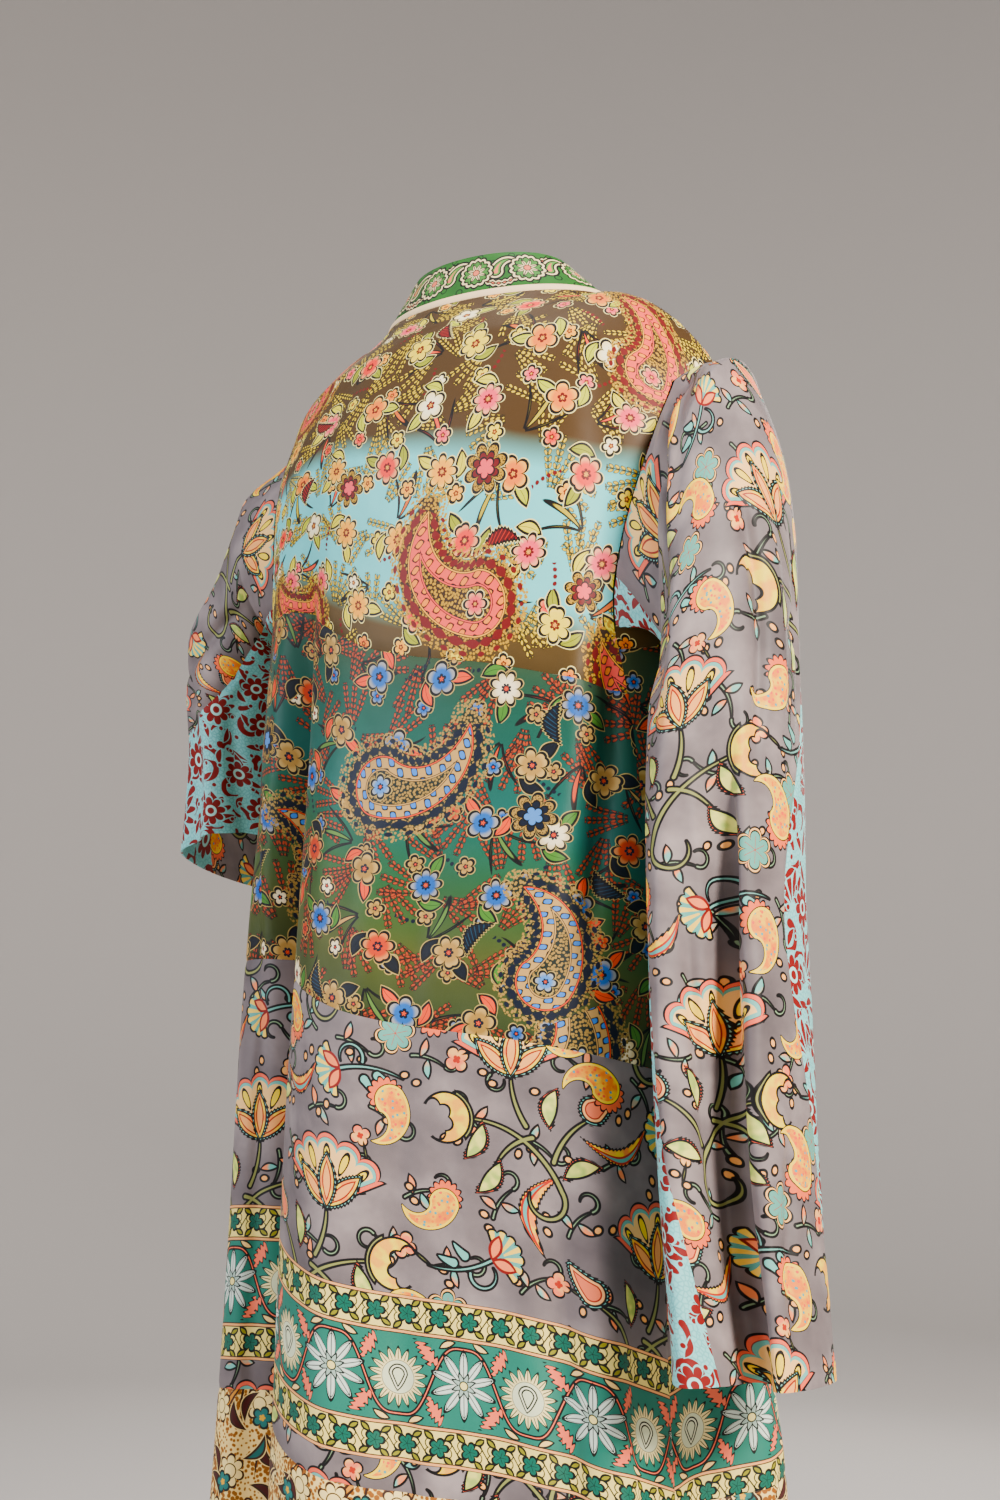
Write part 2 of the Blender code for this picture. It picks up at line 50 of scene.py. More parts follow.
# The body, in metres down the cloth from the back neck
LENGTH = 1.235
UPPER_SEAM = 0.310
MIDDLE_SEAM = 0.583
HEM_SEAM = 0.908
UNDERARM = {1: 0.285, -1: 0.268}  # by side, +1 on the left
RIGHT_FRONT_RISE = 0.028  # the right front is cut and joined this much higher

# Neck and shoulders
NECK_HALF = 0.103
NECK_BACK = 0.060
NECK_FALL = 0.010  # the neck's ends lie this much below the origin
NECK_DIP = 0.008
SHOULDER_HALF = 0.205
SHOULDER_FALL = 0.085
SHOULDER_ROUND = 1.9  # power of the shoulder line's fall
SHOULDER_Y = -0.006
NECK_SHARE = 17 / 35  # of half the back's top edge, and where a column of the back starts
LEVEL_FROM = 0.5 * NECK_SHARE  # outside here the back starts to leave its top edge level
LEVEL_FULL = 1.2 * NECK_SHARE  # and from here on it does so wholly
FRONT_LEVEL = 0.3  # the front's share beside the neck that falls from its top edge
BACK_NECK = 0.08  # share of the whole neck edge that is on one half of the back
YOKE = 0.05  # down to here the cloth turns over the shoulders
BEYOND = 1.7  # a turn's far end takes its slope from this many times its length

# Collar band and its piping
BAND_WIDTH = 0.036
PIPING_WIDTH = 0.007
BAND_START = 0.00095  # clear of the panels' walls, which it leaves at an angle
BAND_LEAN = 0.30  # how far the standing part leans in, as a share of its height
BAND_SIDE_LEAN = 1.1  # the same where it turns over the shoulders
BAND_TURN = 0.14  # over this stretch the band turns from standing up to lying on the chest
BAND_JOIN = 0.000125  # half the gap between its runs, as a share of the neck edge
BESIDE_EDGE = 0.95  # share of a front whose way to the edge the lying band goes on in

ARMHOLE_STEPS = 60
SLEEVE_TRIM = 0.0001  # share of the girth that each panel leaves at its seams
FINE = 240  # steps along a section before it is cut into equal lengths

# Level sections of the body. Angles run from the middle of the back (0 degrees)
# to the middle of the front (180), and the edges are the armhole or side seam.
SECTION = (
    "down", "height", "left_half", "right_half", "back_depth", "front_depth",
    "left_back_edge", "left_front_edge", "right_back_edge", "right_front_edge", "front_x",
)
SECTIONS = (
    (0.050, -0.058, 0.199, 0.199, 0.086, 0.070, 72, 106, 72, 106, 0.099),
    (0.130, -0.130, 0.203, 0.200, 0.114, 0.100, 64, 114, 67, 114, 0.090),
    (0.210, -0.207, 0.200, 0.194, 0.123, 0.122, 62, 108, 61, 108, 0.080),
    (0.250, -0.246, 0.198, 0.191, 0.124, 0.130, 67, 92, 60, 76, 0.076),
    (0.268, -0.264, 0.198, 0.190, 0.124, 0.132, 69, 83, 61, 61, 0.074),
    (0.285, -0.281, 0.197, 0.190, 0.124, 0.134, 72, 72, 63, 63, 0.073),
    (0.440, -0.434, 0.199, 0.187, 0.123, 0.142, 82, 82, 76, 76, 0.068),
    (0.583, -0.574, 0.198, 0.187, 0.122, 0.148, 88, 88, 84, 84, 0.066),
    (0.780, -0.764, 0.197, 0.190, 0.122, 0.156, 92, 92, 88, 88, 0.068),
    (0.908, -0.887, 0.198, 0.198, 0.124, 0.160, 92, 92, 90, 90, 0.071),
    (1.235, -1.206, 0.210, 0.214, 0.134, 0.168, 92, 92, 92, 92, 0.080),
)
FRONT_SQUARENESS = 2.25  # power of the sections' front half, 2 being an ellipse

# How much higher the cloth hangs at each place than at the middle of the back
TILT = ("down", "left_side", "left_back", "right_back", "right_side", "right_front_edge", "left_front_edge")
TILTS = (
    (0.050, -0.048, -0.004, -0.004, -0.048, 0.006, 0.006),
    (0.130, -0.020, 0.006, -0.008, -0.022, 0.006, 0.008),
    (0.210, 0.010, 0.022, -0.012, -0.024, 0.006, 0.010),
    (0.310, 0.038, 0.040, -0.018, -0.036, 0.004, 0.014),
    (0.583, 0.022, 0.038, -0.016, -0.034, 0.004, 0.012),
    (0.780, 0.006, 0.036, -0.016, -0.046, 0.008, 0.008),
    (1.235, 0.000, 0.014, -0.008, -0.026, 0.006, 0.004),
)
LEFT_BACK = 0.33  # shares of the back, from its left edge, that these heights are for
BACK_MIDDLE = 0.52
RIGHT_BACK = 0.75

# Folds of the back: place is the share of the way from the left edge to the
# right one, and out is how far the cloth stands off its section.
FOLD = ("place_above", "place_below", "start", "full", "left_width", "right_width", "out")
BACK_FOLDS = (
    (0.315, 0.345, 0.20, 0.62, 0.070, 0.075, -0.074),
    (0.470, 0.500, 0.22, 0.70, 0.150, 0.170, 0.030),
    (0.220, 0.230, 0.25, 0.70, 0.110, 0.080, 0.010),
    (0.690, 0.680, 0.50, 0.90, 0.080, 0.100, -0.010),
    (0.860, 0.850, 0.40, 0.80, 0.070, 0.080, 0.009),
)
LEFT_FRONT_FOLDS = (
    (0.25, 0.22, 0.35, 0.80, 0.14, 0.16, 0.016),
    (0.58, 0.60, 0.30, 0.85, 0.12, 0.10, -0.026),
    (0.80, 0.78, 0.40, 0.90, 0.10, 0.13, 0.012),
)
RIGHT_FRONT_FOLDS = (
    (0.34, 0.34, 0.50, 0.90, 0.30, 0.22, 0.052),
    (0.64, 0.66, 0.30, 0.80, 0.10, 0.12, -0.024),
    (0.84, 0.83, 0.35, 0.90, 0.09, 0.11, 0.010),
)

# Rings of the sleeves, along from the armhole (0) to the cuff (1). x is out from
# the middle of the body, rise is how much higher the outside is than the
# ring's middle, pitch the same for its back, and twist turns the seams outward.
RING = ("along", "x", "y", "z", "across", "deep", "rise", "pitch", "twist")
RIGHT_RINGS = (
    (0.12, 0.220, 0.014, -0.213, 0.020, 0.066, 0.116, 0.000, 0.11),
    (0.24, 0.234, 0.022, -0.258, 0.034, 0.070, 0.093, 0.000, 0.10),
    (0.42, 0.240, 0.030, -0.345, 0.044, 0.073, 0.030, 0.000, 0.05),
    (0.62, 0.247, 0.030, -0.500, 0.046, 0.075, 0.008, 0.000, 0.02),
    (0.82, 0.258, 0.030, -0.660, 0.045, 0.075, 0.000, 0.000, 0.02),
    (1.00, 0.272, 0.028, -0.803, 0.044, 0.074, 0.000, 0.000, 0.02),
)
LEFT_RINGS = (
    (0.14, 0.227, -0.010, -0.188, 0.015, 0.062, 0.074, 0.000, 0.10),
    (0.30, 0.238, -0.017, -0.226, 0.027, 0.071, 0.060, 0.000, 0.13),
    (0.52, 0.262, -0.035, -0.290, 0.042, 0.095, 0.036, 0.000, 0.17),
    (0.75, 0.272, -0.075, -0.365, 0.048, 0.120, 0.010, 0.004, 0.24),
    (1.00, 0.288, -0.105, -0.440, 0.056, 0.135, -0.014, 0.014, 0.28),
)
# Folds of the sleeves: face is 1 on the back and -1 on the front, place runs from
# -1 at the inside to 1 at the outside, and deep is how far the cloth goes in.
SLEEVE_FOLD = (
    "face", "place_above", "place_below", "start", "full", "fade", "gone", "in_width", "out_width", "deep",
)
RIGHT_SLEEVE_FOLDS = (
    (1, 0.38, 0.34, 0.25, 0.95, 2, 3, 0.75, 0.62, 0.056),
    (1, -0.40, -0.50, 0.06, 0.26, 0.34, 0.55, 0.45, 0.45, 0.016),
    (-1, -0.10, 0.00, 0.20, 0.85, 2, 3, 0.52, 0.55, 0.034),
    (-1, 0.65, 0.62, 0.35, 0.90, 2, 3, 0.30, 0.28, 0.010),
)
LEFT_SLEEVE_FOLDS = (
    (1, 0.15, 0.10, 0.30, 0.90, 2, 3, 0.45, 0.50, 0.016),
    (-1, 0.20, 0.10, 0.30, 0.85, 2, 3, 0.50, 0.62, 0.034),
    (-1, -0.55, -0.50, 0.25, 0.80, 2, 3, 0.35, 0.40, 0.015),
)
SLEEVE_LIFT = 0.022  # how much the sleeve leaves the armhole outward, clear of the body
# Where the grey outer panel starts and ends, as shares of the sleeve's girth that
# start at its inside
SEAMS = ("along", "back_seam", "front_seam")
RIGHT_SEAMS = (
    (0.00, 0.070, 0.600),
    (0.12, -0.010, 0.580),
    (0.24, 0.000, 0.580),
    (0.42, 0.030, 0.570),
    (0.62, 0.115, 0.450),
    (0.82, 0.165, 0.555),
    (1.00, 0.235, 0.620),
)
LEFT_SEAMS = (
    (0.00, 0.030, 0.550),
    (0.14, 0.000, 0.540),
    (0.30, 0.000, 0.560),
    (0.52, 0.000, 0.600),
    (0.64, 0.030, 0.620),
    (0.75, 0.100, 0.630),
    (1.00, 0.140, 0.640),
)
# Shares where a panel's columns run straight down beside its folds, by side and
# by whether it is the outer panel
STEADY = {
    (1, True): (0.24, 0.50),
    (1, False): (0.72, 0.88),
    (-1, True): (0.27, 0.39),
    (-1, False): (0.68, 0.86),
}


def blend(start, end, share):
    return start + (end - start) * share


def ease(value, start, end):
    """0 before start, 1 after end, and a smooth step between them."""
    share = np.clip((value - start) / (end - start), 0, 1)
    return share * share * (3 - 2 * share)


def joined(start, leave, end, arrive, t):
    """A curve from start to end that leaves and arrives with the given slopes, read at t from 0 to 1."""
    return (
        start * (1 + 2 * t) * (1 - t) ** 2
        + leave * t * (1 - t) ** 2
        + end * t * t * (3 - 2 * t)
        - arrive * t * t * (1 - t)
    )


def through(knots, values, at):
    """A smooth curve through the values at the knots, read at one place."""
    knots = np.asarray(knots, float)
    values = np.asarray(values, float)
    at = min(max(at, knots[0]), knots[-1])
    i = min(int(np.searchsorted(knots, at, side="right")) - 1, len(knots) - 2)
    steps = np.diff(knots)
    slopes = [(values[k + 1] - values[k]) / steps[k] for k in range(len(steps))]

    def tangent(k):
        if k == 0:
            return slopes[0]
        if k == len(knots) - 1:
            return slopes[-1]
        near, far = steps[k], steps[k - 1]
        return (slopes[k - 1] * near + slopes[k] * far) / (near + far)

    h = steps[i]
    t = (at - knots[i]) / h
    return joined(values[i], tangent(i) * h, values[i + 1], tangent(i + 1) * h, t)


def read(names, rows, down):
    """One row of a table at any height, as a dictionary of its columns."""
    table = np.array(rows, float)
    values = through(table[:, 0], table, down)
    return dict(zip(names, values))


def bump(offset, left_width, right_width):
    """1 at no offset, easing to 0 at the width of that side."""
    width = np.where(offset < 0, left_width, right_width)
    t = np.clip(np.abs(offset) / width, 0, 1)
    return 0.5 * (1 + np.cos(math.pi * t))


def stand_off(folds, share, down):
    """How far the folds carry the cloth off its section, along the section."""
    total = np.zeros_like(share)
    for values in folds:
        fold = dict(zip(FOLD, values))
        place = blend(fold["place_above"], fold["place_below"], down / LENGTH)
        grown = ease(down, fold["start"], fold["full"])
        total += fold["out"] * grown * bump(share - place, fold["left_width"], fold["right_width"])
    return total


def section(sizes, angles, side):
    """Points and outward directions of a level section; side is +1 on the left."""
    half = np.where(side > 0, sizes["left_half"], sizes["right_half"])
    front = angles > 90
    depth = np.where(front, sizes["front_depth"], sizes["back_depth"])
    power = np.where(front, 2 / FRONT_SQUARENESS, 1.0)
    turn = np.radians(angles)
    across = np.sin(turn) ** power
    along = np.sign(np.cos(turn)) * np.abs(np.cos(turn)) ** power
    points = np.stack([side * half * across, depth * along], axis=-1)
    outward = np.stack([side * across / half, along / depth], axis=-1)
    outward /= np.linalg.norm(outward, axis=-1, keepdims=True)
    return points, outward


def cut_evenly(points, shares, axes=3):
    """Reads a curve at shares of its length, or of its level length for 2 axes."""
    steps = np.linalg.norm(np.diff(points[:, :axes], axis=0), axis=1)
    along = np.concatenate([[0], np.cumsum(steps)])
    along /= along[-1]
    return np.stack([np.interp(shares, along, points[:, k]) for k in range(3)], axis=-1)


def back_section(down, shares):
    """A level row of the back below the yoke, with its folds."""
    sizes = read(SECTION, SECTIONS, down)
    tilt = read(TILT, TILTS, down)
    fine = np.linspace(0, 1, FINE)
    angles = blend(sizes["left_back_edge"], -sizes["right_back_edge"], fine)
    side = np.where(angles >= 0, 1.0, -1.0)
    points, outward = section(sizes, np.abs(angles), side)
    points = points + outward * stand_off(BACK_FOLDS, fine, down)[:, None]
    knots = (0, LEFT_BACK, BACK_MIDDLE, RIGHT_BACK, 1)
    heights = (tilt["left_side"], tilt["left_back"], 0, tilt["right_back"], tilt["right_side"])
    rise = np.array([through(knots, heights, share) for share in fine])
    curve = np.column_stack([points, sizes["height"] + rise])
    return cut_evenly(curve, shares, 2)


def front_section(down, shares, side):
    """A level row of a front below the yoke, from its side seam or armhole to its edge."""
    sizes = read(SECTION, SECTIONS, down)
    tilt = read(TILT, TILTS, down)
    name = "left" if side > 0 else "right"
    folds = LEFT_FRONT_FOLDS if side > 0 else RIGHT_FRONT_FOLDS
    fine = np.linspace(0, 1, FINE)
    front_share = (sizes["front_x"] / sizes[f"{name}_half"]) ** (FRONT_SQUARENESS / 2)
    front_angle = 180 - math.degrees(math.asin(front_share))
    seamed = down >= UNDERARM[side]
    edge = sizes[f"{name}_back_edge"] if seamed else sizes[f"{name}_front_edge"]
    angles = blend(edge, front_angle, fine)
    points, outward = section(sizes, angles, np.full(FINE, side))
    points = points + outward * stand_off(folds, fine, down)[:, None]
    rise = blend(tilt[f"{name}_side"], tilt[f"{name}_front_edge"], fine)
    curve = np.column_stack([points, sizes["height"] + rise])
    return cut_evenly(curve, shares, 2)


def back_neck(share):
    """A point of the back neck, from -1 at its left end to 1 at its right end."""
    turn = 0.5 * math.pi * share
    y = SHOULDER_Y + (NECK_BACK - SHOULDER_Y) * math.cos(turn)
    return -NECK_HALF * math.sin(turn), y, -NECK_FALL - NECK_DIP * math.cos(turn)


def back_top(shares):
    """The shoulder seams and the back neck, from the left armhole to the right."""
    points = []
    for share in shares:
        place = 2 * share - 1
        side = -1 if place > 0 else 1
        if abs(place) < NECK_SHARE:
            points.append(back_neck(place / NECK_SHARE))
        else:
            out = (abs(place) - NECK_SHARE) / (1 - NECK_SHARE)
            x = side * blend(NECK_HALF, SHOULDER_HALF, out)
            points.append((x, SHOULDER_Y, -blend(NECK_FALL, SHOULDER_FALL, out**SHOULDER_ROUND)))
    return np.array(points)


def front_top(shares, side):
    """The front's shoulder edge, from the armhole to the neck."""
    out = np.clip(1 - np.asarray(shares), 0, 1)
    x = side * blend(NECK_HALF, SHOULDER_HALF, out)
    z = -blend(NECK_FALL, SHOULDER_FALL, out**SHOULDER_ROUND)
    return np.column_stack([x, np.full(len(out), SHOULDER_Y), z])


def over_shoulder(top, level, square, section_at, down):
    """Between the top edge and the yoke the cloth turns over the shoulder.

    level is 1 where the cloth leaves its top edge level, as at a shoulder seam,
    and 0 where it falls from it, as at the neck. square is 1 where it leaves
    straight back or forward, as at the armhole, so that both walls meet there.
    """
    if down >= YOKE:
        return section_at(down)
    below = section_at(YOKE)
    lower = section_at(YOKE * BEYOND)
    leave = below - top
    leave[:, 0] *= 1 - square
    leave[:, 2] *= 1 - level
    return joined(top, leave, below, (lower - top) / BEYOND, down / YOKE)


def back_row(down, shares):
    """A level row of the back at any height, from its left side to its right."""
    out = np.abs(2 * np.asarray(shares) - 1)
    level = ease(out, LEVEL_FROM, LEVEL_FULL)
    square = ease(out, NECK_SHARE, 1)
    return over_shoulder(back_top(shares), level, square, lambda at: back_section(at, shares), down)


def front_row(down, shares, side):
    """A level row of a front at any height, from its outer side to its edge."""
    out = 1 - np.asarray(shares)
    level = ease(out, -FRONT_LEVEL, FRONT_LEVEL)
    square = ease(out, 0, 1)
    section_at = lambda at: front_section(at, shares, side)
    return over_shoulder(front_top(shares, side), level, square, section_at, down)


@functools.lru_cache
def armhole(side):
    """The armhole's edge from the underarm up the back, over the shoulder and down the front."""
    edge = 0.0 if side > 0 else 1.0
    downs = np.linspace(0, UNDERARM[side], ARMHOLE_STEPS)
    up_back = [back_row(down, np.array([edge]))[0] for down in downs[::-1]]
    down_front = [front_row(down, np.array([0.0]), side)[0] for down in downs[1:]]
    return cut_evenly(np.array(up_back + down_front), np.linspace(0, 1, FINE + 1))


def ring(sizes, folds, turns, along):
    """One ring of a sleeve; turns run from the inside (0) by the back (0.25) to the outside (0.5)."""
    angle = 2 * math.pi * turns
    out_way = -np.cos(angle)
    back_way = np.sin(angle)
    x = sizes["x"] + sizes["across"] * out_way
    y = sizes["y"] + sizes["deep"] * back_way
    z = sizes["z"] + sizes["rise"] * out_way + sizes["pitch"] * back_way
    for values in folds:
        fold = dict(zip(SLEEVE_FOLD, values))
        place = blend(fold["place_above"], fold["place_below"], along)
        grown = ease(along, fold["start"], fold["full"]) * (1 - ease(along, fold["fade"], fold["gone"]))
        on_face = back_way * fold["face"] > 0
        into = bump(out_way - place, fold["in_width"], fold["out_width"]) * on_face
        y = y - fold["face"] * fold["deep"] * grown * into
    return np.column_stack([x, y, z])


def sleeve_row(along, shares, side):
    """A level row of a sleeve: along is 0 at the armhole and 1 at the cuff."""
    rings = LEFT_RINGS if side > 0 else RIGHT_RINGS
    folds = LEFT_SLEEVE_FOLDS if side > 0 else RIGHT_SLEEVE_FOLDS
    fine = np.linspace(0, 1, FINE + 1)
    first = rings[0][0]
    sizes = read(RING, rings, max(along, first))
    loop = ring(sizes, folds, (fine + sizes["twist"]) % 1, max(along, first))
    loop[:, 0] *= side
    if along < first:
        start = armhole(side)
        after = read(RING, rings, first * BEYOND)
        lower = ring(after, folds, (fine + after["twist"]) % 1, first * BEYOND)
        lower[:, 0] *= side
        leave = loop - start
        leave[:, 0] += side * SLEEVE_LIFT
        loop = joined(start, leave, loop, (lower - start) / BEYOND, along / first)
    return cut_evenly(loop, np.asarray(shares) % 1)


def sleeve_panel(along, shares, side, outer):
    """A level row of one panel of a sleeve, from its first seam to its second."""
    seams = read(SEAMS, LEFT_SEAMS if side > 0 else RIGHT_SEAMS, along)
    if outer:
        first, last = seams["back_seam"], seams["front_seam"]
    else:
        first, last = seams["front_seam"], 1 + seams["back_seam"]
    knots = (first + SLEEVE_TRIM, *STEADY[side, outer], last - SLEEVE_TRIM)
    round_shares = np.interp(shares, np.linspace(0, 1, len(knots)), knots)
    return sleeve_row(along, round_shares, side)


def neckline(place):
    """A point of the neck edge and the way the band leaves it.

    place runs from -1 at the left hem by 0 at the back neck to 1 at the right hem;
    within BACK_NECK of 0 it is on the back.
    """
    side = -1 if place > 0 else 1
    if abs(place) < BACK_NECK:
        point = np.array(back_neck(place / BACK_NECK))
        down = 0.0
    else:
        down = LENGTH * (abs(place) - BACK_NECK) / (1 - BACK_NECK)
        point = front_row(down, np.array([1.0]), side)[0]
    inward = -point * np.array([1, 1, 0])
    inward /= np.linalg.norm(inward)
    lean = blend(BAND_LEAN, BAND_SIDE_LEAN, min(abs(place) / BACK_NECK, 1) ** 2)
    upright = inward * lean + np.array([0, 0, 1])
    ends = front_row(max(down, YOKE), np.array([BESIDE_EDGE, 1.0]), side)
    onward = ends[1] - ends[0]
    onward[2] = 0
    onward /= np.linalg.norm(onward)
    way = blend(upright, onward, ease(down, 0, BAND_TURN))
    return point, way / np.linalg.norm(way)


def band_row(place, reaches):
    """Points of the collar band at distances from the neck edge."""
    point, way = neckline(place)
    return point + way * reaches[:, None]


# The photograph's camera
PHOTO_HEIGHT = 1500
FOCAL_PIXELS = 1935
SENSOR = 36
CAMERA_TURN = 38  # degrees round from straight behind, to the wearer's right
CAMERA_DISTANCE = 1.5
CAMERA_Z = -0.596
CAMERA_YAW = 0.65  # degrees to the right of the robe's middle
CAMERA_PITCH = 8.8
CAMERA_ROLL = 2.0

# Stage
FLOOR_Z = -1.42
WALL_REACH = 5.0
WALL_BEND = 1.5  # radius
WALL_TOP = 3.5
WALL_SIDES = 96
BEND_STEPS = 16
LIT_Z = -0.6  # the height that the lamps face
ROOM_LIGHT = 0.2


def add_object(name, data):
    """A new object in the scene."""
    made = bpy.data.objects.new(name, data)
    bpy.context.scene.collection.objects.link(made)
    return made


def swung(ahead, aside, degrees):
    """Two directions turned together, the first towards the second."""
    turn = math.radians(degrees)
    return ahead * math.cos(turn) + aside * math.sin(turn), aside * math.cos(turn) - ahead * math.sin(turn)


def make_camera():
    """Behind the wearer's right shoulder and level with the waist, looking slightly up."""
    turn = math.radians(CAMERA_TURN)
    ahead = Vector((math.sin(turn), -math.cos(turn), 0))
    right = Vector((-math.cos(turn), -math.sin(turn), 0))
    up = Vector((0, 0, 1))
    ahead, right = swung(ahead, right, CAMERA_YAW)
    ahead, up = swung(ahead, up, CAMERA_PITCH)
    right, up = swung(right, up, CAMERA_ROLL)
    place = Vector((-CAMERA_DISTANCE * math.sin(turn), CAMERA_DISTANCE * math.cos(turn), CAMERA_Z))
    lens = bpy.data.cameras.new("camera")
    lens.sensor_width = SENSOR
    lens.lens = FOCAL_PIXELS / PHOTO_HEIGHT * SENSOR
    camera = add_object("camera", lens)
    camera.matrix_world = Matrix.Translation(place) @ Matrix((right, up, -ahead)).transposed().to_4x4()
    bpy.context.scene.camera = camera


def make_stage():
    """A pale round floor that bends up into a wall, far enough out to clear a camera on any side."""
    profile = [(0.0, FLOOR_Z), (WALL_REACH - WALL_BEND, FLOOR_Z)]
    for step in range(1, BEND_STEPS + 1):
        angle = 0.5 * math.pi * step / BEND_STEPS
        reach = WALL_REACH - WALL_BEND + WALL_BEND * math.sin(angle)
        profile.append((reach, FLOOR_Z + WALL_BEND * (1 - math.cos(angle))))
    profile.append((WALL_REACH, WALL_TOP))
    points = []
    for reach, height in profile:
        for step in range(WALL_SIDES):
            angle = 2 * math.pi * step / WALL_SIDES
            points.append((reach * math.cos(angle), reach * math.sin(angle), height))
    faces = []
    for ring in range(len(profile) - 1):
        for step in range(WALL_SIDES):
            here = ring * WALL_SIDES + step
            beside = ring * WALL_SIDES + (step + 1) % WALL_SIDES
            faces.append((here, here + WALL_SIDES, beside + WALL_SIDES, beside))
    mesh = bpy.data.meshes.new("backdrop")
    mesh.from_pydata(points, [], faces)
    mesh.shade_smooth()
    backdrop = add_object("backdrop", mesh)
    paper = bpy.data.materials.new("matt paper backdrop")
    paper.use_nodes = True
    shader = paper.node_tree.nodes["Principled BSDF"]
    shader.inputs["Base Color"].default_value = linear("b2aeab")
    shader.inputs["Roughness"].default_value = 0.9
    mesh.materials.append(paper)


def make_lights():
    """A key lamp from the camera's upper right, with three large soft ones round the robe."""
    lights = (
        # name, place, size, watts, hex colour
        ("key", (-3.0, 1.0, 1.0), 0.8, 360, "fff4e8"),
        ("fill", (1.5, 2.9, 0.7), 1.6, 125, "eef3ff"),
        ("front", (0.9, -3.0, 0.8), 2.4, 85, "fff8f0"),
        ("top", (0.3, 0.4, 2.6), 1.2, 48, "ffffff"),
    )
    for name, place, size, watts, colour in lights:
        lamp = bpy.data.lights.new(name, "AREA")
        lamp.shape = "DISK"
        lamp.size = size
        lamp.energy = watts
        lamp.color = linear(colour)[:3]
        holder = add_object(name, lamp)
        holder.location = place
        holder.visible_camera = False
        holder.rotation_euler = (Vector(place) - Vector((0, 0, LIT_Z))).to_track_quat("Z", "Y").to_euler()
    world = bpy.data.worlds.new("room")
    world.use_nodes = True
    room = world.node_tree.nodes["Background"]
    room.inputs["Color"].default_value = linear("e6e4e2")
    room.inputs["Strength"].default_value = ROOM_LIGHT
    bpy.context.scene.world = world


# Materials
OPERATORS = {ast.Add: "ADD", ast.Sub: "SUBTRACT", ast.Mult: "MULTIPLY", ast.Div: "DIVIDE", ast.Pow: "POWER"}
FUNCTIONS = {
    "sin": "SINE", "cos": "COSINE", "abs": "ABSOLUTE", "sqrt": "SQRT", "floor": "FLOOR", "fract": "FRACT",
    "min": "MINIMUM", "max": "MAXIMUM", "atan2": "ARCTAN2", "wrap": "WRAP", "above": "GREATER_THAN",
}
RADIANS = {"full_turn": 6.283, "half_turn": 3.1416, "quarter_turn": 1.571}  # names that a formula may use
INK_EDGE = 3.0  # a printed edge turns over a third of a millimetre


def linear(colour):
    """sRGB hex to Blender's linear colour."""
    parts = [int(colour[k:k + 2], 16) / 255 for k in (0, 2, 4)]
    return (*(c / 12.92 if c <= 0.04045 else ((c + 0.055) / 1.055) ** 2.4 for c in parts), 1.0)


def node(tree, kind, inputs=None, **settings):
    """Adds a node with its settings; an input is a value or another node's output."""
    made = tree.nodes.new(kind)
    for name, value in settings.items():
        setattr(made, name, value)
    for name, value in (inputs or {}).items():
        if isinstance(value, bpy.types.NodeSocket):
            tree.links.new(value, made.inputs[name])
        else:
            made.inputs[name].default_value = value
    return made


def formula(tree, text, known=None, **more):
    """Turns lines such as "r = sqrt(x * x + y * y)" into Math nodes.

    Returns their results together with the values given, which are numbers or outputs by name.
    ink(d) is 1 where d, in mm, is well above 0 and 0 well below.
    """
    values = {**RADIANS, **(known or {}), **more}

    def build(part):
        if isinstance(part, ast.Constant):
            return float(part.value)
        if isinstance(part, ast.Name):
            return values[part.id]
        if isinstance(part, ast.UnaryOp):
            return maths("MULTIPLY", build(part.operand), -1.0)
        if isinstance(part, ast.BinOp):
            return maths(OPERATORS[type(part.op)], build(part.left), build(part.right))
        if part.func.id == "ink":
            return maths("MULTIPLY_ADD", build(part.args[0]), INK_EDGE, 0.5, clamped=True)
        return maths(FUNCTIONS[part.func.id], *[build(argument) for argument in part.args])

    def maths(operation, *sockets, clamped=False):
        inputs = dict(enumerate(sockets))
        return node(tree, "ShaderNodeMath", inputs, operation=operation, use_clamp=clamped).outputs[0]

    for line in text.strip().splitlines():
        target = ast.parse(line.strip()).body[0]
        values[target.targets[0].id] = build(target.value)
    return values


def value(tree, text, known=None, **more):
    """The result of one expression."""
    return formula(tree, f"result = {text}", known, **more)["result"]


def paint(tree, under, over, amount):
    """Puts a colour over another one where amount is 1. A colour is a hex value or an output."""
    under, over = (linear(colour) if isinstance(colour, str) else colour for colour in (under, over))
    mix = node(tree, "ShaderNodeMix", {0: amount, 6: under, 7: over}, data_type="RGBA")
    return mix.outputs[2]


WEAVE_PITCH = 1.2  # mm; the real threads are 0.3 mm apart, drawn as coarse as shows
THREAD_RELIEF = 0.02  # mm
DYE_DEPTH = 1.6  # the dyes sink into the cloth, so they look deeper than in the flat
DYE_RICHNESS = 1.08
RUMPLE_PITCH = 45.0  # mm between the soft rumples that worn viscose keeps
RUMPLE_RELIEF = 2.2  # mm
VISCOSE = (
    ("Roughness", 0.55),
    ("Sheen Weight", 0.04),
    ("Sheen Roughness", 0.4),
    ("Specular IOR Level", 0.25),
)


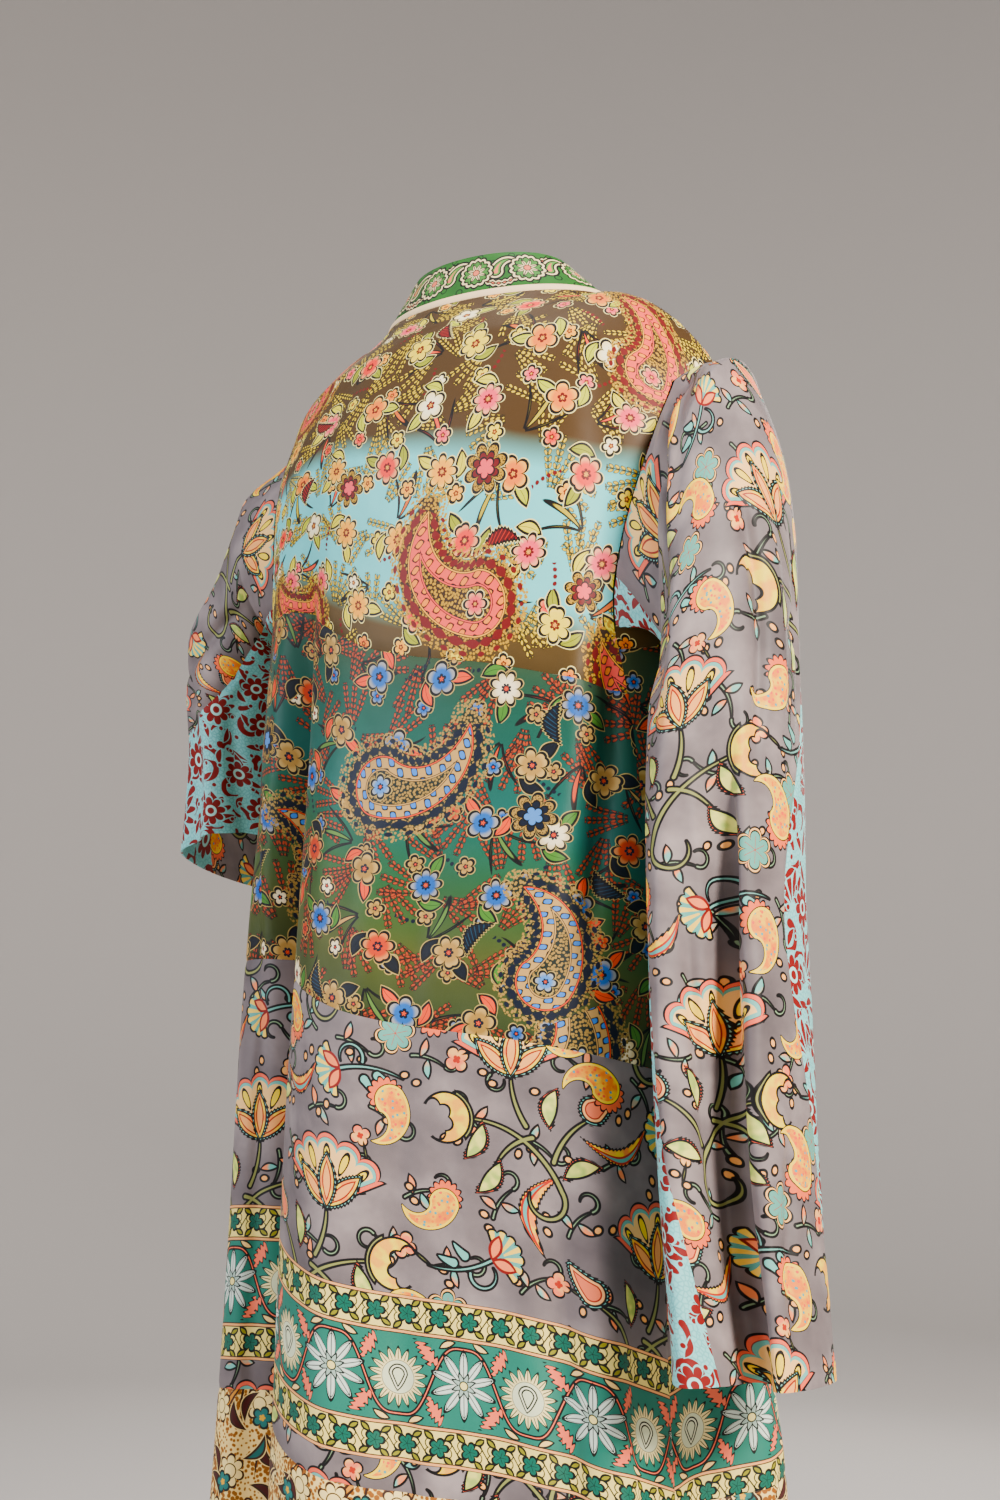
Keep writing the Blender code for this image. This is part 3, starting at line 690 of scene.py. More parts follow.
def cloth_material(name, draw):
    """Printed viscose: smooth, matt to satin, with a fine weave and the print drawn on its own map."""
    made = bpy.data.materials.new(name)
    made.use_nodes = True
    tree = made.node_tree
    shader = tree.nodes["Principled BSDF"]
    on_cloth = node(tree, "ShaderNodeUVMap", uv_map="cloth").outputs[0]
    at = node(tree, "ShaderNodeSeparateXYZ", {0: on_cloth})
    colour = draw(tree, at.outputs[0], at.outputs[1], on_cloth)
    if isinstance(colour, str):
        shader.inputs["Base Color"].default_value = linear(colour)
    else:
        deep = node(tree, "ShaderNodeGamma", {"Color": colour, "Gamma": DYE_DEPTH})
        rich = node(tree, "ShaderNodeHueSaturation", {"Color": deep.outputs[0], "Saturation": DYE_RICHNESS})
        tree.links.new(rich.outputs[0], shader.inputs["Base Color"])
    soft = node(tree, "ShaderNodeTexNoise", {"Vector": on_cloth, "Scale": 1 / RUMPLE_PITCH, "Detail": 2.0})
    relief = formula(tree, """
        threads = sin(u * full_turn / weave) * sin(v * full_turn / weave) * thread
        height = threads + (soft - 0.5) * rumple
    """, u=at.outputs[0], v=at.outputs[1], weave=WEAVE_PITCH, thread=THREAD_RELIEF, rumple=RUMPLE_RELIEF,
        soft=soft.outputs[0])
    bump = node(tree, "ShaderNodeBump", {"Height": relief["height"], "Distance": MM})
    tree.links.new(bump.outputs[0], shader.inputs["Normal"])
    for name, share in VISCOSE:
        shader.inputs[name].default_value = share
    return made


def picked(tree, share, colours):
    """One of a few colours, by a share from 0 to 1."""
    ramp = node(tree, "ShaderNodeValToRGB", {0: share})
    ramp.color_ramp.interpolation = "CONSTANT"
    stops = ramp.color_ramp.elements
    while len(stops) < len(colours):
        stops.new(0.0)
    for index, colour in enumerate(colours):
        stops[index].position = index / len(colours)
        stops[index].color = linear(colour)
    return ramp.outputs[0]


def graded(tree, share, stops):
    """Colours that run into each other along a share from 0 to 1; stops are (place, colour)."""
    ramp = node(tree, "ShaderNodeValToRGB", {0: share})
    made = ramp.color_ramp.elements
    while len(made) < len(stops):
        made.new(0.5)
    for index, (place, colour) in enumerate(stops):
        made[index].position = place
        made[index].color = linear(colour)
    return ramp.outputs[0]


def turned(tree, x, y, angle):
    """Local coordinates turned by an angle in radians."""
    spot = node(tree, "ShaderNodeCombineXYZ", {0: x, 1: y}).outputs[0]
    spin = node(tree, "ShaderNodeVectorRotate", {"Vector": spot, "Angle": angle}, rotation_type="Z_AXIS")
    parts = node(tree, "ShaderNodeSeparateXYZ", {0: spin.outputs[0]})
    return {"x": parts.outputs[0], "y": parts.outputs[1]}


def scattered(tree, u, v, pitch, seed, jitter=0.35):
    """Local coordinates of a motif strewn over staggered cells, with its random shares p, q, r and s.

    pitch is the cells' size in mm, and jitter how far the motifs stray, as a share of it.
    """
    cell = formula(tree, """
        rows = v / down + seed * 0.37
        row = floor(rows)
        columns = u / across + row * 0.5 + seed * 0.61
        column = floor(columns)
    """, u=u, v=v, across=pitch[0], down=pitch[1], seed=float(seed))
    corner = node(tree, "ShaderNodeCombineXYZ", {0: cell["column"], 1: cell["row"], 2: float(seed)})
    noise = node(tree, "ShaderNodeTexWhiteNoise", {"Vector": corner.outputs[0]}, noise_dimensions="3D")
    shares = node(tree, "ShaderNodeSeparateColor", {0: noise.outputs["Color"]})
    randoms = dict(zip("pqrs", (*shares.outputs[:3], noise.outputs["Value"])))
    spot = formula(tree, """
        x = (columns - column - 0.5 + (p - 0.5) * jitter) * across
        y = (rows - row - 0.5 + (q - 0.5) * jitter) * down
        angle = (r - 0.5) * turn
    """, cell, **randoms, jitter=jitter, turn=2 * math.pi)
    return {**turned(tree, spot["x"], spot["y"], spot["angle"]), **randoms}


def charted(tree, u, v, chart, tile):
    """Local coordinates in the nearest motif of a chart that repeats every tile across and down.

    The chart's columns are u and v in mm, the heading of the motif's x in degrees clockwise from
    across, and its size, which is below 0 where it is mirrored.
    """
    here = node(tree, "ShaderNodeCombineXYZ", {0: u, 1: v}).outputs[0]
    half = (0.5 * tile[0], 0.5 * tile[1], 1)
    for index, (place_u, place_v, heading, size) in enumerate(chart):
        way = node(tree, "ShaderNodeVectorMath", {0: here, 1: (place_u, place_v, 0)}, operation="SUBTRACT")
        ends = {0: way.outputs[0], 1: half, 2: [-side for side in half]}
        way = node(tree, "ShaderNodeVectorMath", ends, operation="WRAP").outputs[0]
        own = (-math.radians(heading), 1 / size, index / len(chart))
        reach = node(tree, "ShaderNodeVectorMath", {0: way}, operation="LENGTH").outputs[1]
        if index == 0:
            offset, facts, least = way, own, reach
            continue
        sides = formula(tree, """
            closer = above(least, reach)
            least = min(least, reach)
        """, least=least, reach=reach)
        least = sides["least"]
        offset, facts = (
            node(tree, "ShaderNodeMix", {0: sides["closer"], 4: kept, 5: new}, data_type="VECTOR").outputs[1]
            for kept, new in ((offset, way), (facts, own))
        )
    parts = node(tree, "ShaderNodeSeparateXYZ", {0: offset})
    fact = node(tree, "ShaderNodeSeparateXYZ", {0: facts})
    spot = turned(tree, parts.outputs[0], parts.outputs[1], fact.outputs[0])
    spot = formula(tree, """
        x = x * abs(scale)
        y = y * scale
    """, spot, scale=fact.outputs[1])
    return {"x": spot["x"], "y": spot["y"], "s": fact.outputs[2]}


# Motifs: each gives fields in mm that are above 0 inside the shape
def disc(tree, at, radius, teeth=0, tooth=0.0):
    """A round with an even or a toothed edge."""
    return formula(tree, """
        far = sqrt(x * x + y * y)
        rim = radius + tooth * abs(cos(atan2(y, x) * count)) - far
    """, at, radius=radius, count=teeth / 2, tooth=tooth)


def flower(tree, at, radius, petals):
    """Round petals, with a heart of the same form."""
    return formula(tree, """
        far = sqrt(x * x + y * y)
        arch = sqrt(abs(cos(atan2(y, x) * petals / 2)))
        rim = radius * (0.5 + 0.5 * arch) - far
        heart = radius * (0.16 + 0.16 * arch) - far
    """, at, radius=radius, petals=petals)


def leaf(tree, at, reach, width, bend=0.0):
    """A leaf along x that is pointed at both ends, bent towards -y."""
    return formula(tree, """
        off = y + bend * x * x
        rim = width * (1 - x * x / (reach * reach)) - abs(off)
    """, at, reach=reach, width=width, bend=bend)


def pointed(tree, at, rays, core, reach, spread=1.0):
    """A sun or an open lotus: pointed petals round a core."""
    return formula(tree, """
        far = sqrt(x * x + y * y)
        lane = abs(fract(atan2(y, x) * rays / full_turn) - 0.5) * 2
        rim = core + (reach - core) * (1 - lane ** spread) - far
        heart = core - far
    """, at, rays=float(rays), core=core, reach=reach, spread=spread)


def fan(tree, at, reach, blades, open_to):
    """Drops that fan out from one point, under a scalloped edge."""
    return formula(tree, """
        far = sqrt(x * x + y * y)
        angle = atan2(y, x)
        lane = cos(angle * blades)
        open = (open_to - abs(angle)) * far
        rim = min(reach * (0.86 + 0.14 * sqrt(abs(cos(angle * blades / 2)))) - far, open)
        ahead = (far - reach * 0.66) / (reach * 0.2)
        drop = min((lane - 0.35 - ahead * ahead * 0.9) * reach * 0.08, open - 4)
    """, at, reach=reach, blades=float(blades), open_to=open_to)


def sheaf(tree, at, reach, stems, open_to):
    """Stems that fan out from one point, with grains leaning off both sides."""
    return formula(tree, """
        ahead = x + reach * 0.5
        far = sqrt(ahead * ahead + y * y)
        angle = atan2(y, ahead)
        lane = (fract(angle * stems + 0.5) - 0.5) / stems
        side = abs(lane) * far
        along = (fract((far - side * 0.8) / 4.4) - 0.5) * 4.4
        grain = 1.2 - sqrt(along * along * 0.5 + (side - 1.5) * (side - 1.5))
        rim = min(min(max(grain, 0.15 - side), min(reach - far, far - 7)), (open_to - abs(angle)) * far)
    """, at, reach=reach, stems=stems, open_to=open_to)


def grass(tree, at, reach, blades):
    """Blades that fan out from one point."""
    return formula(tree, """
        ahead = x + reach * 0.5
        far = sqrt(ahead * ahead + y * y)
        angle = atan2(y, ahead) + far * 0.008
        blade = (cos(angle * blades) + 0.05 - 0.95 * far / reach) * far * 0.17
        rim = min(min(blade, far - 2.5), (0.6 - abs(angle)) * far)
    """, at, reach=reach, blades=blades)


def horn(tree, at, width, bend, sweep, taper):
    """A drop that runs along x, round a bend towards y, and thins to its tip."""
    return formula(tree, """
        aside = bend - y
        turn = min(max(wrap(atan2(x, aside), 5.2, -1.083) / sweep, 0), 1)
        off_x = x - bend * sin(turn * sweep)
        off_y = aside - bend * cos(turn * sweep)
        rim = width * (1.02 - turn) ** taper - sqrt(off_x * off_x + off_y * off_y)
    """, at, width=width, bend=bend, sweep=sweep, taper=taper)


def beaded(tree, shape, spacing):
    """Adds beads, 1 at each bead and -1 between them, along the edge of a horn."""
    return formula(tree, """
        around = max(quarter_turn - atan2(abs(y), 0 - x), 0) * width
        beads = cos((turn * sweep * bend - around) * full_turn / spacing)
    """, shape, spacing=spacing)


def branches(tree, at, chart, width):
    """Thin horns of one plant together.

    The chart's columns are x, y, heading in degrees, bend in mm, below 0 where it bends
    anticlockwise, and sweep in degrees.
    """
    rim = -99.0
    for x, y, heading, bend, sweep in chart:
        spot = shifted(tree, at, x, y, heading)
        if bend < 0:
            spot["y"] = value(tree, "0 - y", y=spot["y"])
        other = horn(tree, spot, width, float(abs(bend)), math.radians(sweep), 0.3)["rim"]
        rim = value(tree, "max(rim, other)", rim=rim, other=other)
    return rim


def outlined(tree, ground, rim, fill, line, halo=None, weight=1.0):
    """A filled shape with a drawn line round it, of that half width in mm, and a pale edge outside."""
    inks = formula(tree, """
        outer = ink(rim + weight + 0.8)
        around = ink(rim + weight)
        inside = ink(rim - weight)
    """, rim=rim, weight=weight)
    if halo:
        ground = paint(tree, ground, halo, inks["outer"])
    ground = paint(tree, ground, line, inks["around"])
    return paint(tree, ground, fill, inks["inside"])


def shifted(tree, at, x, y, heading=0.0):
    """The same motif's coordinates seen from another point of it, with x along heading in degrees."""
    moved = formula(tree, """
        x = x - by_x
        y = y - by_y
    """, x=at["x"], y=at["y"], by_x=x, by_y=y)
    spot = turned(tree, moved["x"], moved["y"], -math.radians(heading)) if heading else moved
    return {**at, "x": spot["x"], "y": spot["y"]}


def leaves(tree, colour, at, places, size, fill, line, weight):
    """Leaves of one size at a few places of a motif; places are x, y and heading in degrees."""
    for x, y, heading in places:
        rim = leaf(tree, shifted(tree, at, x, y, heading), *size)["rim"]
        colour = outlined(tree, colour, rim, fill, line, weight=weight)
    return colour


def banded(tree, colour, rim, bands):
    """Colours one inside the other; bands are (mm inside the rim, colour)."""
    for depth, fill in bands:
        amount = value(tree, "ink(rim - depth)", rim=rim, depth=depth)
        colour = paint(tree, colour, fill, amount)
    return colour


# Flower garden prints
GARDEN_TILE = (330, 400)  # mm that the charts below span before they repeat
TINTS = (
    # part, in the upper print, in the middle print
    ("line", "241606", "0e181c"),
    ("halo", "efe6b4", "c2b282"),
    ("grain", "c9a94a", "b59e6c"),
    ("wheat", "dcc640", "b9705a"),
    ("grass", ("e08a30", "cfc02e", "ee8a78"), ("d9785c", "7f9c64", "cdb080")),
    ("leaves", ("cfd222", "b4b81e", "e6dc2e"), ("e8795c", "0c2c40", "6f9a58")),
    (
        "flowers", ("faf4d8", "f29a30", "ef7c76", "f2e038", "f58a98", "f8c058"),
        ("b79c68", "5f8cc4", "cf6a54", "bfa472", "f3ead0", "5a86c0"),
    ),
    ("glow", "fbe6b0", "dcc898"),
    ("heart", "880a14", "12304a"),
    ("pip", "f0c078", "e4785c"),
    ("crescent", "7e141c", "0e2a40"),
    ("stroke", "c25048", "3f6478"),
    ("band_ground", "5a4420", "33443c"),
    ("beads", "8e0410", "0f2f4a"),
    ("ribbon", "f08a84", "cdb284"),
    ("inside", "f2a64a", "78a4dc"),
    ("star", "f28a90", "7fa8d8"),
)
UPPER_TINTS = {part: upper for part, upper, middle in TINTS}
MIDDLE_TINTS = {part: middle for part, upper, middle in TINTS}
# The charts' columns are across, down, heading in degrees and size, below 0 where mirrored
UPPER_PAISLEYS = (
    (98, 268, 174, 1.0),
    (-72, 306, 150, 0.85),
    (196, 84, -70, -0.95),
)
UPPER_CRESCENTS = (
    (14, 62, 70, 1.0),
    (106, 222, 160, 1.0),
    (-96, 128, 20, 0.9),
    (226, 190, 110, 0.9),
)
UPPER_STARS = (
    (84, 178, 20, 1.0),
    (-40, 196, 0, 0.9),
    (176, 250, 50, 0.8),
)
MIDDLE_PAISLEYS = (
    (48, 408, 12, -1.0),
    (236, 582, -82, -0.95),
    (-126, 532, -60, -0.9),
)
MIDDLE_CRESCENTS = (
    (-100, 455, 30, 1.0),
    (146, 505, 120, 1.0),
    (166, 344, 80, 1.0),
    (30, 566, 60, 0.9),
)
MIDDLE_STARS = (
    (168, 412, 90, 1.0),
    (188, 520, 20, 0.9),
    (-40, 470, 0, 0.9),
)


def blossom(tree, colour, at, radius, petals, fill, tints):
    """An open flower with a glow at its petals' ends and a dark star at its heart."""
    shape = flower(tree, at, radius, petals)
    inks = formula(tree, """
        seeds = ink(heart)
        glow = ink((far - radius * 0.66) * 0.12) * 0.5
        pip = ink(heart - radius * 0.17)
    """, shape)
    fill = paint(tree, fill, tints["glow"], inks["glow"])
    fill = paint(tree, fill, tints["heart"], inks["seeds"])
    fill = paint(tree, fill, tints["pip"], inks["pip"])
    return outlined(tree, colour, shape["rim"], fill, tints["line"], tints["halo"])


def boteh(tree, colour, at, tints, on_cloth):
    """A large paisley: a beaded rim, a ribbon and a core of its own small flowers."""
    shape = beaded(tree, horn(tree, at, 27.0, 50.0, 1.95, 0.62), 9.6)
    grains = node(tree, "ShaderNodeTexVoronoi", {"Vector": on_cloth, "Scale": 0.42}, voronoi_dimensions="2D")
    clumps = node(tree, "ShaderNodeTexNoise", {"Vector": on_cloth, "Scale": 0.12, "Detail": 1.0})
    bands = formula(tree, """
        fringe = ink(rim + 8 + clump * 9) * ink(0.9 - grain * 2.2)
        shade = ink((rim + 5) * 0.2)
        body = ink((0.97 - turn) * 60)
        ring = ink(3.3 - sqrt((rim + 0.6) * (rim + 0.6) + (1 - beads) * 5.2)) * body
        dots = ink(1.8 - sqrt((rim + 8) * (rim + 8) + (1 + beads) * 4.6)) * body
        blob = cos(x * 0.62) + sin(y * 0.7 + x * 0.3) - 0.55
        blobs = ink(blob)
        veins = ink(0.32 - abs(blob))
    """, shape, grain=grains.outputs["Distance"], clump=clumps.outputs[0])
    ground = paint(tree, tints["band_ground"], tints["grain"], bands["fringe"])
    shaded = paint(tree, colour, tints["band_ground"], bands["shade"])
    colour = paint(tree, shaded, tints["grain"], bands["fringe"])
    colour = paint(tree, colour, tints["beads"], bands["dots"])
    colour = paint(tree, colour, tints["beads"], bands["ring"])
    ribbon = paint(tree, tints["ribbon"], tints["inside"], bands["blobs"])
    ribbon = paint(tree, ribbon, tints["line"], bands["veins"])
    colour = banded(tree, colour, shape["rim"], (
        (3.4, tints["line"]), (3.9, tints["pip"]), (4.9, tints["line"]), (5.3, ribbon),
        (13.4, tints["line"]), (13.9, tints["ribbon"]), (14.9, tints["line"]), (15.3, ground),
    ))
    return blossom(tree, colour, at, 9.0, 6.0, tints["star"], tints)


def garden(tree, u, v, on_cloth, ground, tints, paisleys, crescents, stars):
    """Wheat, grass, leaves, flowers, feathered crescents and paisleys, from the ground up."""
    line, halo = tints["line"], tints["halo"]
    colour = ground
    for seed, pitch, reach in ((3, (47, 43), 38.0), (8, (54, 50), 42.0)):
        shape = sheaf(tree, scattered(tree, u, v, pitch, seed, 0.15), reach, 3.4, 0.4)
        colour = banded(tree, colour, shape["rim"], ((-0.15, line), (0.2, tints["wheat"])))
    at = scattered(tree, u, v, (66, 60), 11)
    shape = grass(tree, at, 30.0, 10.0)
    colour = outlined(tree, colour, shape["rim"], picked(tree, at["s"], tints["grass"]), line, weight=0.7)
    at = scattered(tree, u, v, (74, 66), 21)
    dots = formula(tree, """
        along = (fract(x / 4.6) - 0.5) * 4.6
        off = y + 0.012 * x * x
        rim = min(1.5 - sqrt(along * along + off * off), 11.5 - abs(x))
    """, at)
    colour = banded(tree, colour, dots["rim"], ((0, tints["beads"]),))
    at = scattered(tree, u, v, (42, 38), 31, 0.2)
    colour = blossom(tree, colour, at, 6.5, 5.0, picked(tree, at["p"], tints["flowers"]), tints)
    at = scattered(tree, u, v, (54, 49), 5, 0.12)
    for x, y, heading in ((-14.5, 4.0, -20), (8.5, -13.5, -125)):
        side = shifted(tree, at, x, y, heading)
        shape = leaf(tree, side, 9.5, 4.2, 0.02)
        vein = value(tree, "ink(0.1 - abs(off))", shape)
        fill = paint(tree, picked(tree, at["s"], tints["leaves"]), line, vein)
        colour = outlined(tree, colour, shape["rim"], fill, line, halo, weight=0.85)
    petals = value(tree, "5 + floor(p * 2.99) * 1.5", at)
    colour = blossom(tree, colour, at, 12.0, petals, picked(tree, at["s"], tints["flowers"]), tints)

    at = charted(tree, u, v, stars, GARDEN_TILE)
    shape = flower(tree, at, 17.0, 8.0)
    grains = node(tree, "ShaderNodeTexVoronoi", {"Vector": on_cloth, "Scale": 0.6}, voronoi_dimensions="2D")
    speckle = value(tree, "ink(0.6 - far * 2.4)", far=grains.outputs["Distance"])
    fill = paint(tree, tints["grain"], line, speckle)
    colour = outlined(tree, colour, shape["rim"], fill, line, halo)
    for radius, petals, part in ((11.5, 8.0, "beads"), (7.5, 5.0, "star")):
        inner = flower(tree, at, radius, petals)
        colour = outlined(tree, colour, inner["rim"], tints[part], line, weight=0.7)

    at = charted(tree, u, v, crescents, GARDEN_TILE)
    shape = leaf(tree, at, 14.0, 5.0, 0.032)
    strokes = formula(tree, """
        stroke = ink(sin(x * 1.9 + off * 1.3) - 0.72)
        jagged = rim + 0.7 * sin(x * 2.6)
    """, shape)
    fill = paint(tree, tints["crescent"], tints["stroke"], strokes["stroke"])
    colour = outlined(tree, colour, strokes["jagged"], fill, line, halo)

    at = charted(tree, u, v, paisleys, GARDEN_TILE)
    return boteh(tree, colour, at, tints, on_cloth)


def striped(tree, v, on_cloth, start, length, wander, stops):
    """Stripes that bleed into each other, from start on over a length, all in mm."""
    drift = node(tree, "ShaderNodeTexNoise", {"Vector": on_cloth, "Scale": 0.008, "Detail": 1.0}).outputs[0]
    sizes = {"start": start, "length": length, "wander": wander}
    share = value(tree, "(v - start + (drift - 0.5) * wander) / length", sizes, v=v, drift=drift)
    return graded(tree, share, stops)


def draw_upper(tree, u, v, on_cloth):
    """Olive brown with a pale aqua stripe that bleeds into it, under flowers in warm colours."""
    ground = striped(tree, v, on_cloth, 0, 320, 26, (
        (0.0, "6b5636"), (0.47, "6f5a38"), (0.54, "93dadc"),
        (0.82, "93d8da"), (0.90, "77653f"), (1.0, "6a5a36"),
    ))
    return garden(tree, u, v, on_cloth, ground, UPPER_TINTS, UPPER_PAISLEYS, UPPER_CRESCENTS, UPPER_STARS)


def draw_middle(tree, u, v, on_cloth):
    """Olive, teal and olive again, under flowers in tan, blue and coral."""
    ground = striped(tree, v, on_cloth, 300, 290, 40, (
        (0.0, "56674a"), (0.14, "347264"), (0.42, "2f7f78"),
        (0.60, "4f7a54"), (0.78, "6f7646"), (1.0, "4c5e40"),
    ))
    return garden(tree, u, v, on_cloth, ground, MIDDLE_TINTS, MIDDLE_PAISLEYS, MIDDLE_CRESCENTS, MIDDLE_STARS)


# Vine print
VINE_TILE = (248, 226)
VINE_LINE = "160c12"
# Columns as in the garden's charts
VINE_SPRAYS = (
    (66, 78, 0, 1.0),
    (190, 191, 172, -0.98),
)
VINE_CARNATIONS = (
    (184, 58, -30, 1.0),
    (62, 172, 160, 1.0),
)
VINE_PAISLEYS = (
    (146, 26, 100, 0.8),
    (132, 118, -60, -0.9),
    (236, 110, 70, 0.85),
    (8, 152, -120, -0.8),
    (104, 186, 40, 0.85),
)
VINE_GARLANDS = (
    (206, 18, 100, 1.0),
    (24, 196, -20, 0.9),
)
VINE_BLOSSOMS = (
    (118, 58, 20, 1.0),
    (16, 108, 100, 0.9),
    (150, 150, -40, 1.0),
    (228, 66, 0, 0.9),
    (84, 214, 60, 0.8),
)
# Columns: x, y, heading in degrees, bend in mm and sweep in degrees
SPRAY_STEMS = (
    (-34, 44, -70, 75, 70),
    (-30, 24, -110, -55, 45),
    (-12, 0, -60, -60, 35),
    (-34, 44, 120, -13, 230),
    (-16, 8, 10, 40, 50),
)
# Columns: x, y and heading in degrees
SPRAY_PODS = (
    (-49, 27, 200),
    (16, 38, 50),
    (-30, -14, -105),
    (24, 12, 60),
)
VINE_CURL = (
    (-14, -6, 30, 34, 45),
    (2, 15, 75, -6, 240),
)
CARNATION_STEMS = (
    (-4, 0, 176, 60, 45),
    (-22, 2, 120, -9, 220),
)


def toothed(tree, colour, shape, reach, teeth, fill):
    """A toothed edging round a shape, with a drawn line."""
    edge = value(tree, "rim + reach + 0.5 * cos((x + y) * teeth)", shape, reach=reach, teeth=teeth)
    return outlined(tree, colour, edge, fill, VINE_LINE, weight=0.8)


def vine_ground(tree, on_cloth):
    """Grey with a hint of mauve, mottled like a wash."""
    mottle = node(tree, "ShaderNodeTexNoise", {"Vector": on_cloth, "Scale": 0.016, "Detail": 4.0})
    share = value(tree, "(mottle - 0.3) * 2.5", mottle=mottle.outputs[0])
    return graded(tree, share, ((0.0, "827b7d"), (0.5, "989091"), (1.0, "b4abaa")))


def draw_tulip(tree, colour, at, wash):
    """A half-open yellow cup with a toothed mouth and an olive calyx."""
    shape = disc(tree, at, 18.0)
    cup = formula(tree, """
        bite_x = x - 10
        bite = sqrt(bite_x * bite_x + y * y)
        cup = min(rim, bite - 12 - 3.2 * abs(cos(atan2(y, bite_x) * 3.5)))
        calyx = min(rim + 2.6, 0 - x - 7 - 0.25 * abs(y))
    """, shape)
    colour = outlined(tree, colour, cup["calyx"], "a9ab7c", VINE_LINE, weight=0.85)
    fill = paint(tree, "f5e36c", "f3c57c", wash)
    return outlined(tree, colour, cup["cup"], fill, VINE_LINE, weight=0.85)


def draw_lotus(tree, colour, at, warm):
    """An open fan of drops between coral and aqua scallops, with three toothed buds at its foot."""
    shape = fan(tree, at, 50.0, 15, 1.12)
    colour = banded(tree, colour, shape["rim"], (
        (-0.7, VINE_LINE), (0.7, "ee9786"), (3.4, "8c4c4e"), (3.8, "94c8c0"), (6.4, "f5d6a6"),
    ))
    colour = outlined(tree, colour, shape["drop"], "f4de66", VINE_LINE, weight=0.8)
    for x, y, heading in ((11.0, -12.0, -48), (11.0, 12.0, 48), (17.0, 0.0, 0)):
        bud = leaf(tree, shifted(tree, at, x, y, heading), 18.0, 6.2)
        colour = toothed(tree, colour, bud, 1.5, 1.8, "a4cfc6")
        bands = ((-0.5, VINE_LINE), (0.7, warm), (2.4, "b04c44"), (3.4, "f6c494"))
        colour = banded(tree, colour, bud["rim"], bands)
    return colour


def draw_spray(tree, colour, at, warm, wash):
    """A branch that carries a lotus, a tulip, a bud and pods."""
    stems = branches(tree, at, SPRAY_STEMS, 2.1)
    colour = outlined(tree, colour, stems, "a5a878", VINE_LINE, weight=0.8)
    for x, y, heading in SPRAY_PODS:
        shape = leaf(tree, shifted(tree, at, x, y, heading), 13.5, 5.6, 0.014)
        edging = {**shape, "rim": value(tree, "min(rim, off + 2)", shape)}
        colour = toothed(tree, colour, edging, 1.6, 2.2, "ea8f7c")
        fill = paint(tree, "e4e29a", "bccb86", wash)
        colour = outlined(tree, colour, shape["rim"], fill, VINE_LINE, weight=0.8)
    bud = horn(tree, shifted(tree, at, -62.0, -14.0, -150), 8.6, 60.0, 0.36, 0.7)
    colour = toothed(tree, colour, bud, 1.6, 1.9, "94c8c0")
    bands = ((-0.5, VINE_LINE), (0.8, "f8cba0"), (2.5, "b04c44"), (3.4, "f2a58c"))
    colour = banded(tree, colour, bud["rim"], bands)
    colour = draw_tulip(tree, colour, shifted(tree, at, 46.0, -6.0, 8), wash)
    return draw_lotus(tree, colour, shifted(tree, at, -4.0, -36.0, -94), warm)


def draw_carnation(tree, colour, at):
    """An aqua and yellow carnation with coral petals, aqua leaves and a lobed leaf at its stem."""
    stems = branches(tree, at, CARNATION_STEMS, 1.6)
    colour = outlined(tree, colour, stems, "94c0b8", VINE_LINE, weight=0.8)
    for x, y, heading in ((-20.0, -10.0, -115), (-30.0, -9.0, -140)):
        blade = horn(tree, shifted(tree, at, x, y, heading), 3.6, 40.0, 0.3, 0.5)
        colour = outlined(tree, colour, blade["rim"], "94c8c0", VINE_LINE, weight=0.85)
    shape = fan(tree, at, 20.0, 15, 1.4)
    lanes = value(tree, "ink(lane * 2) * ink(far - 6)", shape)
    fill = paint(tree, "86bfb6", "f6dc8a", lanes)
    colour = outlined(tree, colour, shape["rim"], fill, VINE_LINE, weight=0.85)
    petals = ((3.0, -6.5, -45), (3.0, 6.5, 45))
    colour = leaves(tree, colour, at, petals, (8.5, 4.0), "f5ac8c", "9c3c38", 1.0)
    lobed = flower(tree, shifted(tree, at, -50.0, 18.0), 13.0, 6.0)
    bands = ((-2.8, VINE_LINE), (-1.6, "f5cf9c"), (-0.3, VINE_LINE), (0.8, "86bab0"))
    colour = banded(tree, colour, lobed["rim"], bands)
    veins = value(tree, "min(ink(0.5 - abs(sin(atan2(y, x) * 3)) * far), ink(9 - far))", lobed)
    return paint(tree, colour, "c45c50", veins)


